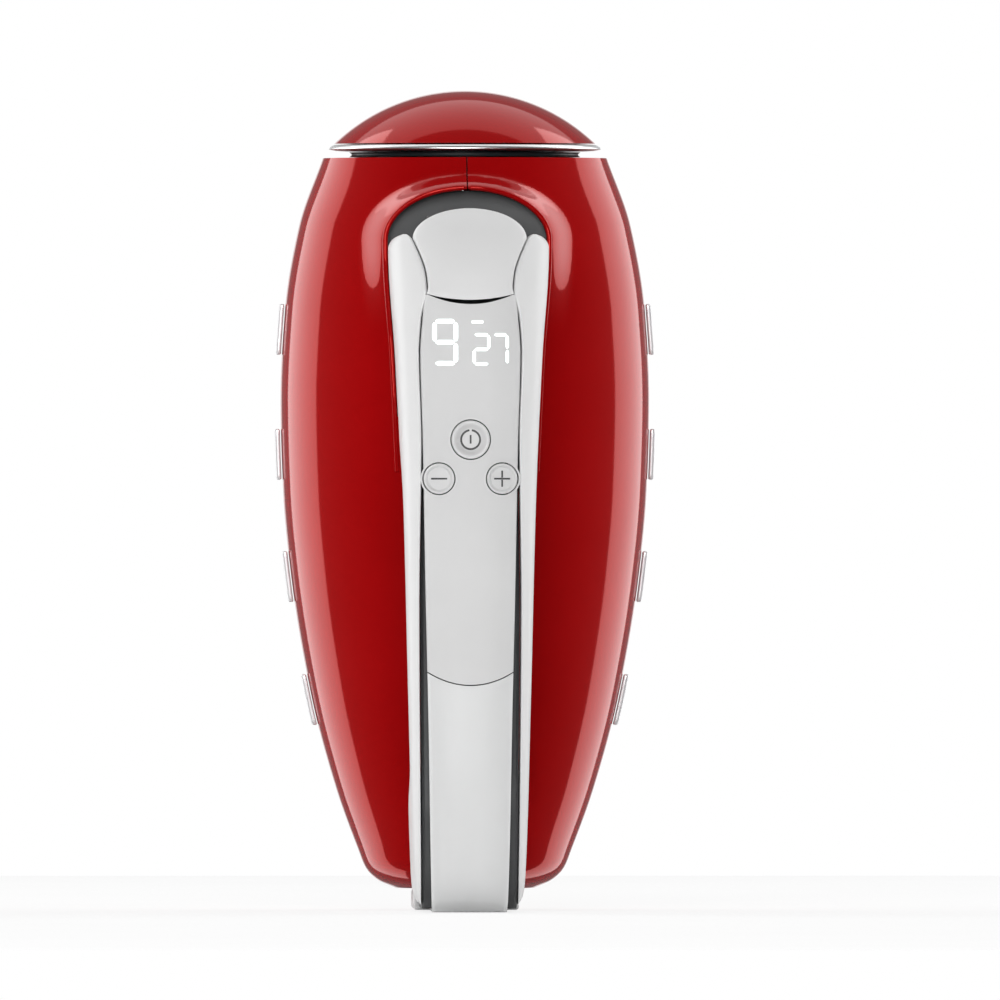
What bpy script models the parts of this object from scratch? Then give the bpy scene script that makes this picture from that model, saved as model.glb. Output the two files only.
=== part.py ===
"""Hand mixer, standing upright on its heel.

+Z runs along the mixer from the heel to the nose, -Y is the handle side and +Y is the beater side.
"Depth" is measured from the body's axis towards the handle, so depth is -Y. All sizes are in metres.
"""

import math

import bmesh
import bpy
import numpy as np
from mathutils import Matrix, Vector

# Driving dimensions.
TOTAL_HEIGHT = 0.2095
BODY_WIDTH = 0.0945
STANDARD_HEIGHT = 0.2095
STANDARD_WIDTH = 0.0945
BODY_ROUNDNESS = 0.95
WALL = 0.0022
GAP = 0.0003

# Collar that rises from the body round the front of the handle.
COLLAR_RISE = 0.0062
COLLAR_RIM = 0.0212
COLLAR_FALL = 0.0060
ARCH_HALF_WIDTH = 0.0206
ARCH_RISE = 0.0130

# Handle.
HANDLE_UNDERSIDE = 0.074
HANDLE_EDGE_DROP = 0.009
CORE_TOP = 0.0895
COVER_THICKNESS = 0.0075
LEG_FLOOR = 0.0243
FOOT_HALF_WIDTH = 0.0135
FOOT_BACK = 0.022
FOOT_THICKNESS = 0.0050
HEEL_PLATE = 0.0025
TAIL_ROOM = 0.0004

# Controls.
POWER_RADIUS = 0.0049
STEP_RADIUS = 0.0039
STEP_OFFSET = 0.0080
BUTTON_CLEARANCE = 0.00025
BUTTON_PROUD = 0.0005
BUTTON_TRAVEL = 0.0006
EJECT_TRAVEL = 0.0060

# Motor and gears.
SHAFT_RADIUS = 0.0025
BEARING_RADIUS = 0.0060
BEARING_LENGTH = 0.0050
ROTOR_RADIUS = 0.0131
ROTOR_LENGTH = 0.032
STATOR_BORE = 0.0136
STATOR_WIDTH = 0.044
STATOR_DEPTH = 0.040
STATOR_LENGTH = 0.030
COMMUTATOR_RADIUS = 0.0070
COMMUTATOR_LENGTH = 0.010
FAN_RADIUS = 0.026
FAN_LENGTH = 0.007
MODULE = 0.001
WORM_RADIUS = 0.0040
WORM_LENGTH_PITCHES = 4
GEAR_THICKNESS = 0.0040
GEAR_SIDE_ROOM = 0.0050
SPINDLE_RADIUS = 0.0044
SPINDLE_BORE = 0.0031
STEM_RADIUS = 0.0029
SCREW_RADIUS = 0.0015
SCREW_HEAD_RADIUS = 0.0029
BOSS_RADIUS = 0.0042


def station(height):
    """A height on the standard length, moved in step with TOTAL_HEIGHT."""
    return height * TOTAL_HEIGHT / STANDARD_HEIGHT


def across(width):
    """A width on the standard body, moved in step with BODY_WIDTH."""
    return width * BODY_WIDTH / STANDARD_WIDTH


def smooth(points):
    """A smooth function through (position, value) points that never overshoots them."""
    at = np.array([point[0] for point in points])
    value = np.array([point[1] for point in points])
    slope = np.diff(value) / np.diff(at)
    before, after = slope[:-1], slope[1:]
    agree = before * after > 0
    middle = np.where(agree, 2 * before * after / np.where(agree, before + after, 1.0), 0.0)
    tangent = np.concatenate([[slope[0]], middle, [slope[-1]]])

    def read(position):
        position = min(max(position, at[0]), at[-1])
        i = min(max(int(np.searchsorted(at, position)) - 1, 0), len(at) - 2)
        span = at[i + 1] - at[i]
        t = (position - at[i]) / span
        start = (1 + 2 * t) * (1 - t) ** 2 * value[i] + t * (1 - t) ** 2 * span * tangent[i]
        end = t * t * (3 - 2 * t) * value[i + 1] + t * t * (t - 1) * span * tangent[i + 1]
        return float(start + end)

    return read


def ramp(position, low, high):
    """0 below low, 1 above high and an eased rise between."""
    t = min(max((position - low) / (high - low), 0.0), 1.0)
    return t * t * (3 - 2 * t)


def stationed(points):
    return smooth([(station(height), value) for height, value in points])


# Outlines along the height: (height, half-width) or (height, depth).
TAIL_END = FOOT_THICKNESS + TAIL_ROOM
BODY_FRONT = station(0.1922)
body_outline = smooth(
    [(TAIL_END, across(0.0178))]
    + [
        (station(height), across(half))
        for height, half in (
            (0.0074, 0.0223),
            (0.0105, 0.0254),
            (0.0151, 0.0273),
            (0.0305, 0.0329),
            (0.0535, 0.0391),
            (0.0843, 0.0444),
            (0.1073, 0.0466),
            (0.1304, 0.04725),
            (0.1534, 0.0461),
            (0.1749, 0.0425),
            (0.1922, 0.0364),
        )
    ]
)
handle_outline = stationed(
    (
        (0.0, 0.0098),
        (0.0013, 0.0118),
        (0.0044, 0.0137),
        (0.0090, 0.0142),
        (0.0535, 0.0155),
        (0.1047, 0.0168),
        (0.1406, 0.0184),
        (0.1690, 0.0202),
        (0.1705, 0.0196),
        (0.1716, 0.0185),
        (0.1722, 0.0170),
    )
)
rail_inner = stationed(
    (
        (0.0, 0.0123),
        (0.079, 0.0129),
        (0.120, 0.0124),
        (0.142, 0.0130),
        (0.151, 0.0124),
        (0.1575, 0.0110),
        (0.1616, 0.0113),
        (0.1700, 0.0142),
        (0.1716, 0.0152),
        (0.1722, 0.0160),
    )
)
cover_outline = stationed(
    (
        (0.0, 0.0095),
        (0.003, 0.0097),
        (0.053, 0.0107),
        (0.079, 0.0113),
        (0.120, 0.0121),
        (0.142, 0.0127),
        (0.151, 0.0121),
        (0.155, 0.0112),
    )
)
crest_rise = stationed(
    (
        (0.0, -0.0055),
        (0.003, -0.0005),
        (0.008, 0.0033),
        (0.016, 0.0057),
        (0.040, 0.0090),
        (0.090, 0.0105),
        (0.130, 0.0103),
        (0.150, 0.0085),
        (0.160, 0.0060),
        (0.168, 0.0025),
        (0.174, -0.0015),
        (0.1788, -0.0070),
    )
)


def handle_crest(height):
    """Depth of the handle's outer surface on its middle line."""
    return CORE_TOP + crest_rise(height)


ARCH_SPRING = station(0.171)
OPENING_LOW = station(0.126)
COLLAR_START = station(0.145)
COLLAR_FULL = station(0.170)
PANEL_LOW = station(0.0611)
PANEL_HIGH = station(0.1544)
EJECT_LOW = station(0.1550)
EJECT_SHOULDER = station(0.171)
EJECT_HIGH = station(0.1788)
POWER_HEIGHT = station(0.1200)
STEP_HEIGHT = station(0.1101)
ROD_HEIGHT = station(0.168)
GEAR_HEIGHT = station(0.150)
ROTOR_HEIGHT = station(0.095)
FAN_HEIGHT = station(0.0495)
COMMUTATOR_HEIGHT = station(0.0675)
REAR_BEARING_HEIGHT = station(0.0395)
FRONT_BEARING_HEIGHT = station(0.1215)
INLET_HEIGHT = station(0.024)

BUTTON_FLOOR = CORE_TOP + 0.0048
SWITCH_TOP = BUTTON_FLOOR - BUTTON_TRAVEL - GAP
BOARD_FLOOR = CORE_TOP + GAP
BOARD_THICKNESS = 0.0012
BOARD_HALF = 0.0093
EJECT_FLOOR = CORE_TOP - 0.0115
EJECT_SEAT = EJECT_FLOOR - EJECT_TRAVEL - 0.0005
SPRING_POCKET_FLOOR = EJECT_FLOOR - 0.020
DISPLAY_TOP = CORE_TOP + 0.0035
ROD_RADIUS = 0.0020
PILLAR_FLOOR = across(0.0385)
PLUG_FLOOR = across(0.030)
PLATE_BACK = 0.024
PLATE_THICKNESS = 0.0016
COLLAR_LENGTH = 0.003
PITCH = math.pi * MODULE
HOLLOW_HALF = body_outline(GEAR_HEIGHT) - WALL
GEAR_TEETH = int((HOLLOW_HALF - GEAR_SIDE_ROOM - WORM_RADIUS - MODULE) / MODULE)
GEAR_RADIUS = GEAR_TEETH * MODULE / 2
GEAR_OFFSET = WORM_RADIUS + GEAR_RADIUS
BEATER_RADIUS = GEAR_OFFSET - 0.0015
CASE_HALF = GEAR_OFFSET + SPINDLE_RADIUS + 0.0105

PARTS = "hand_mixer"
CUTTERS = "cutters"


def start_scene():
    for item in list(bpy.data.objects):
        bpy.data.objects.remove(item, do_unlink=True)
    for name in (PARTS, CUTTERS):
        collection = bpy.data.collections.new(name)
        bpy.context.scene.collection.children.link(collection)
    bpy.data.collections[CUTTERS].hide_render = True


def material(name, colour, roughness, metallic=0.0):
    made = bpy.data.materials.new(name)
    made.use_nodes = True
    shader = made.node_tree.nodes["Principled BSDF"]
    shader.inputs["Base Color"].default_value = (*colour, 1.0)
    shader.inputs["Roughness"].default_value = roughness
    shader.inputs["Metallic"].default_value = metallic
    made.diffuse_color = (*colour, 1.0)
    return made


def add(name, mesh, finish=None):
    """Adds an object to the parts, or to the cutters when it has no finish."""
    made = bpy.data.objects.new(name, mesh)
    if finish is None:
        made.hide_render = True
        made.display_type = "WIRE"
        bpy.data.collections[CUTTERS].objects.link(made)
        return made
    mesh.materials.append(finish)
    bpy.data.collections[PARTS].objects.link(made)
    return made


def finish_mesh(shape, name):
    bmesh.ops.recalc_face_normals(shape, faces=shape.faces)
    mesh = bpy.data.meshes.new(name)
    shape.to_mesh(mesh)
    shape.free()
    return mesh


def box(name, low, high, finish=None):
    shape = bmesh.new()
    bmesh.ops.create_cube(shape, size=1.0)
    low, high = Vector(low), Vector(high)
    bmesh.ops.scale(shape, vec=high - low, verts=shape.verts)
    bmesh.ops.translate(shape, vec=(low + high) / 2, verts=shape.verts)
    return add(name, finish_mesh(shape, name), finish)


def turn_to(axis):
    """The rotation that takes +Z to the named axis."""
    return {
        "Z": Matrix.Identity(4),
        "Y": Matrix.Rotation(-math.pi / 2, 4, "X"),
        "X": Matrix.Rotation(math.pi / 2, 4, "Y"),
    }[axis]


def cylinder(name, radius, start, length, axis, finish=None, sides=24):
    """A cylinder from start that runs length along the axis."""
    shape = bmesh.new()
    bmesh.ops.create_cone(
        shape,
        cap_ends=True,
        segments=sides,
        radius1=radius,
        radius2=radius,
        depth=length,
    )
    bmesh.ops.translate(shape, vec=(0, 0, length / 2), verts=shape.verts)
    bmesh.ops.transform(shape, matrix=Matrix.Translation(start) @ turn_to(axis), verts=shape.verts)
    return add(name, finish_mesh(shape, name), finish)


def turned(name, profile, start, axis, finish=None, sides=32, flatten=1.0):
    """A profile of (radius, height) turned round the axis through start. It runs down the outer side."""
    closed = profile[0][0] > 0
    shape = bmesh.new()
    verts = [shape.verts.new((radius, 0, height)) for radius, height in profile]
    for low, high in zip(verts, verts[1:]):
        shape.edges.new((low, high))
    if closed:
        shape.edges.new((verts[-1], verts[0]))
    mesh = bpy.data.meshes.new(name)
    shape.to_mesh(mesh)
    shape.free()
    made = add(name, mesh, finish)
    made.matrix_world = Matrix.Translation(start) @ turn_to(axis) @ Matrix.Diagonal((1, flatten, 1, 1))
    screw = made.modifiers.new("Turn", "SCREW")
    screw.steps = sides
    screw.render_steps = sides
    screw.use_merge_vertices = True
    screw.merge_threshold = 0.00001
    return made


def prism(name, outline, axis, low, high, finish=None):
    """An outline extruded along an axis, with its points in the other two axes' order."""
    place = {
        "X": lambda a, b: (low, a, b),
        "Y": lambda a, b: (a, low, b),
        "Z": lambda a, b: (a, b, low),
    }[axis]
    shape = bmesh.new()
    face = shape.faces.new([shape.verts.new(place(a, b)) for a, b in outline])
    made = bmesh.ops.extrude_face_region(shape, geom=[face])
    far = [item for item in made["geom"] if isinstance(item, bmesh.types.BMVert)]
    way = {"X": (1, 0, 0), "Y": (0, 1, 0), "Z": (0, 0, 1)}[axis]
    bmesh.ops.translate(shape, vec=Vector(way) * (high - low), verts=far)
    return add(name, finish_mesh(shape, name), finish)


def loft(name, rings, finish=None):
    """A closed solid through rings of the same number of points, capped at both ends."""
    shape = bmesh.new()
    rows = [[shape.verts.new(point) for point in ring] for ring in rings]
    count = len(rows[0])
    for lower, upper in zip(rows, rows[1:]):
        for k in range(count):
            after = (k + 1) % count
            shape.faces.new((lower[k], lower[after], upper[after], upper[k]))
    shape.faces.new(rows[0])
    shape.faces.new(rows[-1])
    return add(name, finish_mesh(shape, name), finish)


def tube(name, points, radius, cyclic, finish=None, resolution=1):
    """A round wire along the points, made a mesh so that it can be cut or joined."""
    curve = bpy.data.curves.new(name, "CURVE")
    curve.dimensions = "3D"
    curve.bevel_depth = radius
    curve.bevel_resolution = resolution
    curve.use_fill_caps = not cyclic
    spline = curve.splines.new("POLY")
    spline.points.add(len(points) - 1)
    for point, place in zip(spline.points, points):
        point.co = (*place, 1.0)
    spline.use_cyclic_u = cyclic
    wire = bpy.data.objects.new(name + "_wire", curve)
    bpy.context.scene.collection.objects.link(wire)
    graph = bpy.context.evaluated_depsgraph_get()
    mesh = bpy.data.meshes.new_from_object(wire.evaluated_get(graph))
    bpy.data.objects.remove(wire)
    bpy.data.curves.remove(curve)
    shape = bmesh.new()
    shape.from_mesh(mesh)
    bmesh.ops.remove_doubles(shape, verts=shape.verts, dist=0.000001)
    bmesh.ops.recalc_face_normals(shape, faces=shape.faces)
    shape.to_mesh(mesh)
    shape.free()
    mesh.materials.clear()
    return add(name, mesh, finish)


def combine(target, other, operation, solver):
    modifier = target.modifiers.new(operation.title() + " " + other.name, "BOOLEAN")
    modifier.operation = operation
    modifier.object = other
    modifier.solver = solver


def cut(target, *cutters, solver="EXACT"):
    for cutter in cutters:
        combine(target, cutter, "DIFFERENCE", solver)


def join(target, *others, solver="EXACT"):
    for other in others:
        combine(target, other, "UNION", solver)


# Body.

HANDLE_SIDE_ANGLES = (14, 26, 29.5, 34, 38.5, 43, 52, 63, 76)
BODY_HEIGHTS = (
    0.0054, 0.0064, 0.0080, 0.0105, 0.0162, 0.0260, 0.0402, 0.0582, 0.0780, 0.0985, 0.1092,
    0.1182, 0.1275, 0.1392, 0.1508, 0.1622, 0.1702, 0.1762, 0.1817, 0.1872, 0.1922,
)
COLLAR_INSET_SHARE = 1.1


def opening_half(height):
    """Half-width of the collar's opening below the spring of its arch."""
    return min(handle_outline(min(height, station(0.169))) + 0.0004, ARCH_HALF_WIDTH)


def opening_distance(x, height):
    """How far a point is from the opening's middle line, in widths of the opening at its widest."""
    if height <= ARCH_SPRING:
        return abs(x) * ARCH_HALF_WIDTH / opening_half(height)
    return math.hypot(x, (height - ARCH_SPRING) * ARCH_HALF_WIDTH / ARCH_RISE)


def collar_rise(x, height, inset):
    away = opening_distance(x, height) + COLLAR_INSET_SHARE * inset - COLLAR_RIM
    t = min(max(away / COLLAR_FALL, 0.0), 1.0)
    return COLLAR_RISE * ramp(height, COLLAR_START, COLLAR_FULL) * (1 - t)


def body_angles():
    side = [math.radians(angle) for angle in HANDLE_SIDE_ANGLES]
    back = [math.radians(angle) for angle in range(90, 271, 18)]
    return [0.0, *side, *back, *[math.tau - angle for angle in reversed(side)]]


def body_ring(height, inset):
    half_width = body_outline(height) - inset
    half_depth = BODY_ROUNDNESS * body_outline(height) - inset
    ring = []
    for angle in body_angles():
        x = half_width * math.sin(angle)
        depth = half_depth * math.cos(angle)
        if depth > 0:
            depth += collar_rise(x, height, inset)
        ring.append((x, -depth, height))
    return ring


def body_solid(name, inset, low, high, finish=None):
    """The body's outer form, moved inwards by inset between two heights."""
    middle = [station(height) for height in BODY_HEIGHTS if low < station(height) < high]
    return loft(name, [body_ring(height, inset) for height in (low, *middle, high)], finish)


def inner_reach(height, y):
    """Half-width of the hollow at a height and a distance along Y."""
    half_width = body_outline(height) - WALL
    half_depth = BODY_ROUNDNESS * body_outline(height) - WALL
    return half_width * math.sqrt(max(1 - (y / half_depth) ** 2, 0.0))


def opening_outline(inset):
    low = OPENING_LOW + inset
    heights = [low, station(0.140), station(0.155), ARCH_SPRING]
    right = [(opening_half(height) - inset, height) for height in heights]
    arch = []
    for k in range(1, 16):
        angle = math.pi * k / 16
        arch.append(
            (
                (ARCH_HALF_WIDTH - inset) * math.cos(angle),
                ARCH_SPRING + (ARCH_RISE - inset) * math.sin(angle),
            )
        )
    return right + arch + [(-x, height) for x, height in reversed(right)]


SCREW_PLACES = tuple(
    (y, station(height)) for y, height in ((0.026, 0.1005), (0.019, 0.0364), (0.013, 0.1790))
)
SCREW_TIP = 0.011
SCREW_HEAD_AT = -0.009
SCREW_HEAD_LENGTH = 0.002
NECK_RADIUS = across(0.0296)
NECK_HOLE = across(0.0270)


def housing(name, finish, low_side, shell_cutters, shell_joins):
    """One half of the body's shell, split on the middle plane with half a gap on each side."""
    shell = body_solid(name, 0.0, TAIL_END, BODY_FRONT, finish)
    hollow, *rest = shell_cutters
    cut(shell, hollow, solver="MANIFOLD")
    join(shell, *shell_joins, solver="MANIFOLD")
    cut(shell, *rest, solver="MANIFOLD")
    reach = BODY_WIDTH
    if low_side:
        half = box(name + "_other_half", (-GAP / 2, -reach, -GAP), (reach, reach, TOTAL_HEIGHT))
    else:
        half = box(name + "_other_half", (-reach, -reach, -GAP), (GAP / 2, reach, TOTAL_HEIGHT))
    cut(shell, half, solver="MANIFOLD")
    weld = shell.modifiers.new("Weld", "WELD")
    weld.merge_threshold = 0.00002
    return shell


def rib(name, low_x, height, thickness, half_y, side):
    """A rib from the wall inwards to low_x, which backs a piece inside."""
    reach = inner_reach(height, half_y) + 0.6 * WALL
    ends = sorted((side * low_x, side * reach))
    return box(
        name,
        (ends[0], -half_y, height - thickness / 2),
        (ends[1], half_y, height + thickness / 2),
    )


BRUSH_REACH = 0.020
RIBS = (
    ("stator_rib", STATOR_WIDTH / 2, ROTOR_HEIGHT, 0.008, 0.008),
    ("case_rib", CASE_HALF, FRONT_BEARING_HEIGHT, 0.005, 0.006),
    ("brush_rib", BRUSH_REACH, COMMUTATOR_HEIGHT, 0.005, 0.005),
)
VENT_COUNT = 5
VENT_LOW = 0.040
VENT_STEP = 0.0045
VENT_MIDDLE = 0.0115
VENT_HALF_LENGTH = 0.0080
VENT_HALF_HEIGHT = 0.0009
VENT_BACK = 0.024
SOCKET_RADIUS = 0.0060
SOCKET_BACK = across(0.028)
INLET_RADIUS = 0.0054
INLET_BORE = 0.0034


def make_housings():
    red = material("red_enamel", (0.45, 0.015, 0.015), 0.22)
    cutters = [body_solid("hollow", WALL, TAIL_END + WALL, BODY_FRONT - WALL)]
    cutters.append(prism("collar_opening", opening_outline(0.0), "Y", -0.10, -PLUG_FLOOR))
    cutters.append(cylinder("neck_hole", NECK_HOLE, (0, 0, BODY_FRONT - 0.006), 0.01, "Z", sides=48))
    for side in (-1, 1):
        start = (side * GEAR_OFFSET, SOCKET_BACK, GEAR_HEIGHT)
        cutters.append(cylinder(f"socket_{side}", SOCKET_RADIUS, start, 0.02, "Y"))
    cutters.append(cylinder("inlet_hole", INLET_RADIUS + GAP, (0, 0.018, INLET_HEIGHT), 0.02, "Y"))
    for k in range(VENT_COUNT):
        height = station(VENT_LOW + VENT_STEP * k)
        for side in (-1, 1):
            middle = side * VENT_MIDDLE
            low = (middle - VENT_HALF_LENGTH, VENT_BACK, height - VENT_HALF_HEIGHT)
            high = (middle + VENT_HALF_LENGTH, BODY_WIDTH, height + VENT_HALF_HEIGHT)
            cutters.append(box(f"vent_{k}_{side}", low, high))
    bosses = []
    for number, (y, height) in enumerate(SCREW_PLACES):
        reach = inner_reach(height, abs(y) + BOSS_RADIUS) + 0.3 * WALL
        start = (-reach, y, height)
        bosses.append(cylinder(f"boss_{number}", BOSS_RADIUS, start, 2 * reach, "X", sides=16))
        start = (-BODY_WIDTH / 2, y, height)
        bore_end = BODY_WIDTH / 2 + SCREW_TIP + GAP
        cutters.append(cylinder(f"bore_{number}", SCREW_RADIUS + GAP, start, bore_end, "X", sides=12))
        sink_end = BODY_WIDTH / 2 + SCREW_HEAD_AT + GAP
        sink_radius = SCREW_HEAD_RADIUS + GAP
        cutters.append(cylinder(f"sink_{number}", sink_radius, start, sink_end, "X", sides=16))
    for side in (-1, 1):
        for name, low_x, height, thickness, half_y in RIBS:
            bosses.append(rib(f"{name}_{side}", low_x + GAP, height, thickness, half_y, side))
    housing("left_housing", red, True, cutters, bosses)
    housing("right_housing", red.copy(), False, cutters, bosses)
    steel = material("zinc_steel", (0.55, 0.55, 0.56), 0.35, 1.0)
    for number, (y, height) in enumerate(SCREW_PLACES, 1):
        profile = (
            (0, 0),
            (SCREW_RADIUS, 0),
            (SCREW_RADIUS, SCREW_HEAD_AT - SCREW_TIP),
            (SCREW_HEAD_RADIUS, SCREW_HEAD_AT - SCREW_TIP),
            (SCREW_HEAD_RADIUS, SCREW_HEAD_AT - SCREW_TIP - SCREW_HEAD_LENGTH),
            (0, SCREW_HEAD_AT - SCREW_TIP - SCREW_HEAD_LENGTH),
        )
        turned(f"housing_screw_{number}", profile, (SCREW_TIP, y, height), "X", steel.copy(), sides=12)


# Nose.

RING_RADIUS = across(0.0348)
NOSE_RADIUS = across(0.0335)
RING_LOW = BODY_FRONT + 0.0018
RING_HIGH = RING_LOW + 0.0016
NOSE_LOW = RING_HIGH + 0.0003
STUB_RADIUS = 0.0230
PLUG_DEPTH = 0.005


def make_nose():
    dark = material("neck_plastic", (0.02, 0.04, 0.045), 0.4)
    neck = (
        (0, RING_HIGH),
        (STUB_RADIUS, RING_HIGH),
        (STUB_RADIUS, RING_LOW - GAP),
        (NECK_RADIUS, RING_LOW - GAP),
        (NECK_RADIUS, BODY_FRONT + GAP),
        (NECK_HOLE - 0.004, BODY_FRONT + GAP),
        (NECK_HOLE - 0.004, BODY_FRONT - PLUG_DEPTH),
        (0, BODY_FRONT - PLUG_DEPTH),
    )
    turned("nose_neck", neck, (0, 0, 0), "Z", dark, 32, BODY_ROUNDNESS)
    chrome = material("ring_chrome", (0.8, 0.81, 0.82), 0.12, 1.0)
    edge = 0.0004
    ring = (
        (STUB_RADIUS + GAP, RING_HIGH),
        (NOSE_RADIUS + edge, RING_HIGH),
        (RING_RADIUS, RING_LOW + edge),
        (RING_RADIUS - 0.4 * edge, RING_LOW),
        (STUB_RADIUS + GAP, RING_LOW),
    )
    turned("chrome_ring", ring, (0, 0, 0), "Z", chrome, 36, BODY_ROUNDNESS)
    red = material("nose_enamel", (0.45, 0.015, 0.015), 0.22)
    height = TOTAL_HEIGHT - NOSE_LOW
    arc_radius = (NOSE_RADIUS**2 + height**2) / (2 * height)
    half_angle = math.asin(NOSE_RADIUS / arc_radius)
    outer = []
    for k in range(8):
        angle = half_angle * k / 7
        outer.append((arc_radius * math.sin(angle), TOTAL_HEIGHT - arc_radius * (1 - math.cos(angle))))
    profile = [
        *outer,
        (NOSE_RADIUS - 1.6 * WALL, NOSE_LOW),
        (0.60 * (NOSE_RADIUS - WALL), NOSE_LOW + 0.60 * (height - WALL)),
        (0, NOSE_LOW + height - WALL),
    ]
    turned("nose_cap", profile, (0, 0, 0), "Z", red, 32, BODY_ROUNDNESS)


# Raised bars on the sides.

BAR_HEIGHTS = tuple(station(height) for height in (0.1484, 0.1164, 0.0851, 0.0536))
BAR_LENGTH = 0.0130
BAR_DEPTH = 0.0052
BAR_THICKNESS = 0.0013


def make_bars():
    chrome = material("bar_chrome", (0.8, 0.81, 0.82), 0.15, 1.0)
    for side, word in ((-1, "left"), (1, "right")):
        for number, height in enumerate(BAR_HEIGHTS, 1):
            low = body_outline(height - BAR_LENGTH / 2)
            high = body_outline(height + BAR_LENGTH / 2)
            tilt = math.atan2(high - low, BAR_LENGTH)
            shape = bmesh.new()
            bmesh.ops.create_cube(shape, size=1.0)
            size = (BAR_THICKNESS, BAR_DEPTH, BAR_LENGTH)
            bmesh.ops.scale(shape, vec=size, verts=shape.verts)
            middle = body_outline(height) + GAP + BAR_THICKNESS / 2
            matrix = Matrix.Translation((side * middle, 0, height)) @ Matrix.Rotation(side * tilt, 4, "Y")
            bmesh.ops.transform(shape, matrix=matrix, verts=shape.verts)
            made = add(f"{word}_bar_{number}", finish_mesh(shape, f"{word}_bar_{number}"), chrome.copy())
            edges = made.modifiers.new("Round", "BEVEL")
            edges.width = 0.0004
            edges.segments = 1


# Handle.


def saddle(height):
    """Depth of the body's surface on its middle line, under the handle."""
    return BODY_ROUNDNESS * body_outline(height) + collar_rise(0.0, height, 0.0)


def handle_surface(x, height):
    """Depth of the handle's outer surface."""
    share = abs(x) / max(handle_outline(min(height, station(0.169))), 0.0142)
    return handle_crest(height) - HANDLE_EDGE_DROP * share**3


def underside(height):
    """Depth of the handle's underside: two legs and the grip between them."""
    grip = HANDLE_UNDERSIDE
    leg = ramp(height, station(0.025), station(0.037))
    pillar = ramp(height, station(0.103), station(0.1265))
    low = LEG_FLOOR + (grip - LEG_FLOOR) * leg - (grip - PILLAR_FLOOR) * pillar
    if station(0.060) < height < OPENING_LOW + 0.0005:
        return max(low, saddle(height) + 0.0006)
    return low


def core_crest(height):
    return min(CORE_TOP, handle_crest(height) - COVER_THICKNESS)


RAIL_HEIGHTS = (
    0.0028, 0.0040, 0.0056, 0.0090, 0.0160, 0.0250, 0.0280, 0.0310, 0.0340, 0.0370, 0.0550,
    0.0790, 0.1030, 0.1080, 0.1130, 0.1180, 0.1230, 0.1264, 0.1268, 0.1420, 0.1510, 0.1575,
    0.1616, 0.1660, 0.1690, 0.1705, 0.1716, 0.1722,
)


def rail_ring(height, side):
    inner = rail_inner(height)
    outer = handle_outline(height)
    low = underside(height)
    width = outer - inner
    ring = [(inner, low), (outer - 0.25 * width, low), (outer, low + 0.002)]
    shoulder = handle_surface(outer, height)
    ring.append((outer, shoulder - 0.0045))
    for share in (0.97, 0.82, 0.5, 0.2):
        drop = 0.0045 * (share > 0.9) * 0.35
        x = inner + share * width
        ring.append((x, handle_surface(x, height) - drop))
    ring.append((inner, handle_surface(inner, height) - 0.0003))
    return [(side * x, -depth, height) for x, depth in ring]


def cover_ring(height, half, low, steps=8):
    ring = [(-half, -low, height), (half, -low, height)]
    for k in range(steps + 1):
        x = half * (1 - 2 * k / steps)
        ring.append((x, -handle_surface(x, height), height))
    return ring


def body_clearance():
    return body_solid("leg_clearance", -0.00035, TAIL_END - 0.0003, station(0.0620))


CORE_HEIGHTS = (
    0.0009, 0.0030, 0.0080, 0.0160, 0.0250, 0.0290, 0.0330, 0.0370, 0.0550, 0.0790, 0.1030, 0.1110,
    0.1180, 0.1240, 0.1264, 0.1268, 0.1272, 0.1420, 0.1515,
)
CORE_JOINS_PLUG = 0.1270


def make_core():
    dark = material("core_plastic", (0.025, 0.027, 0.03), 0.45)
    rings = []
    for standard in CORE_HEIGHTS:
        height = station(standard)
        low = underside(height) + 0.0006
        if standard > CORE_JOINS_PLUG:
            low = PLUG_FLOOR + 0.002
        half = rail_inner(height) - GAP
        ring = ((-half, low), (half, low), (half, core_crest(height)), (-half, core_crest(height)))
        rings.append([(x, -depth, height) for x, depth in ring])
    core = loft("handle_core", rings, dark)
    neck_half = 0.0104
    neck = box(
        "core_neck",
        (-neck_half, -EJECT_SEAT, station(0.150)),
        (neck_half, -PLUG_FLOOR - 0.001, station(0.177)),
    )
    plug = prism("core_plug", opening_outline(0.0004), "Y", -PILLAR_FLOOR + 0.0005, -PLUG_FLOOR)
    join(core, plug, neck)
    seat = (0, -EJECT_SEAT - 0.001, ROD_HEIGHT)
    pocket = cylinder("spring_pocket", 0.0047, seat, EJECT_SEAT + 0.001 - SPRING_POCKET_FLOOR, "Y")
    bore_length = EJECT_SEAT + 0.001 - PLUG_FLOOR
    rod_bore = cylinder("rod_bore", ROD_RADIUS + 0.0006, seat, bore_length, "Y", sides=16)
    channel_half = cover_outline(0.0) - 0.0002 + GAP
    channel_low = (-channel_half, -CORE_TOP - 0.01, -0.001)
    channel = box("plate_channel", channel_low, (channel_half, 0, HEEL_PLATE + GAP))
    cut(core, body_clearance(), pocket, rod_bore, channel)


def make_rails():
    silver = material("rail_silver", (0.78, 0.79, 0.80), 0.32, 0.35)
    for side, word in ((-1, "left"), (1, "right")):
        rings = [rail_ring(station(height), side) for height in RAIL_HEIGHTS]
        rail = loft(f"handle_{word}_rail", rings, silver.copy())
        cut(rail, body_clearance())


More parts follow.
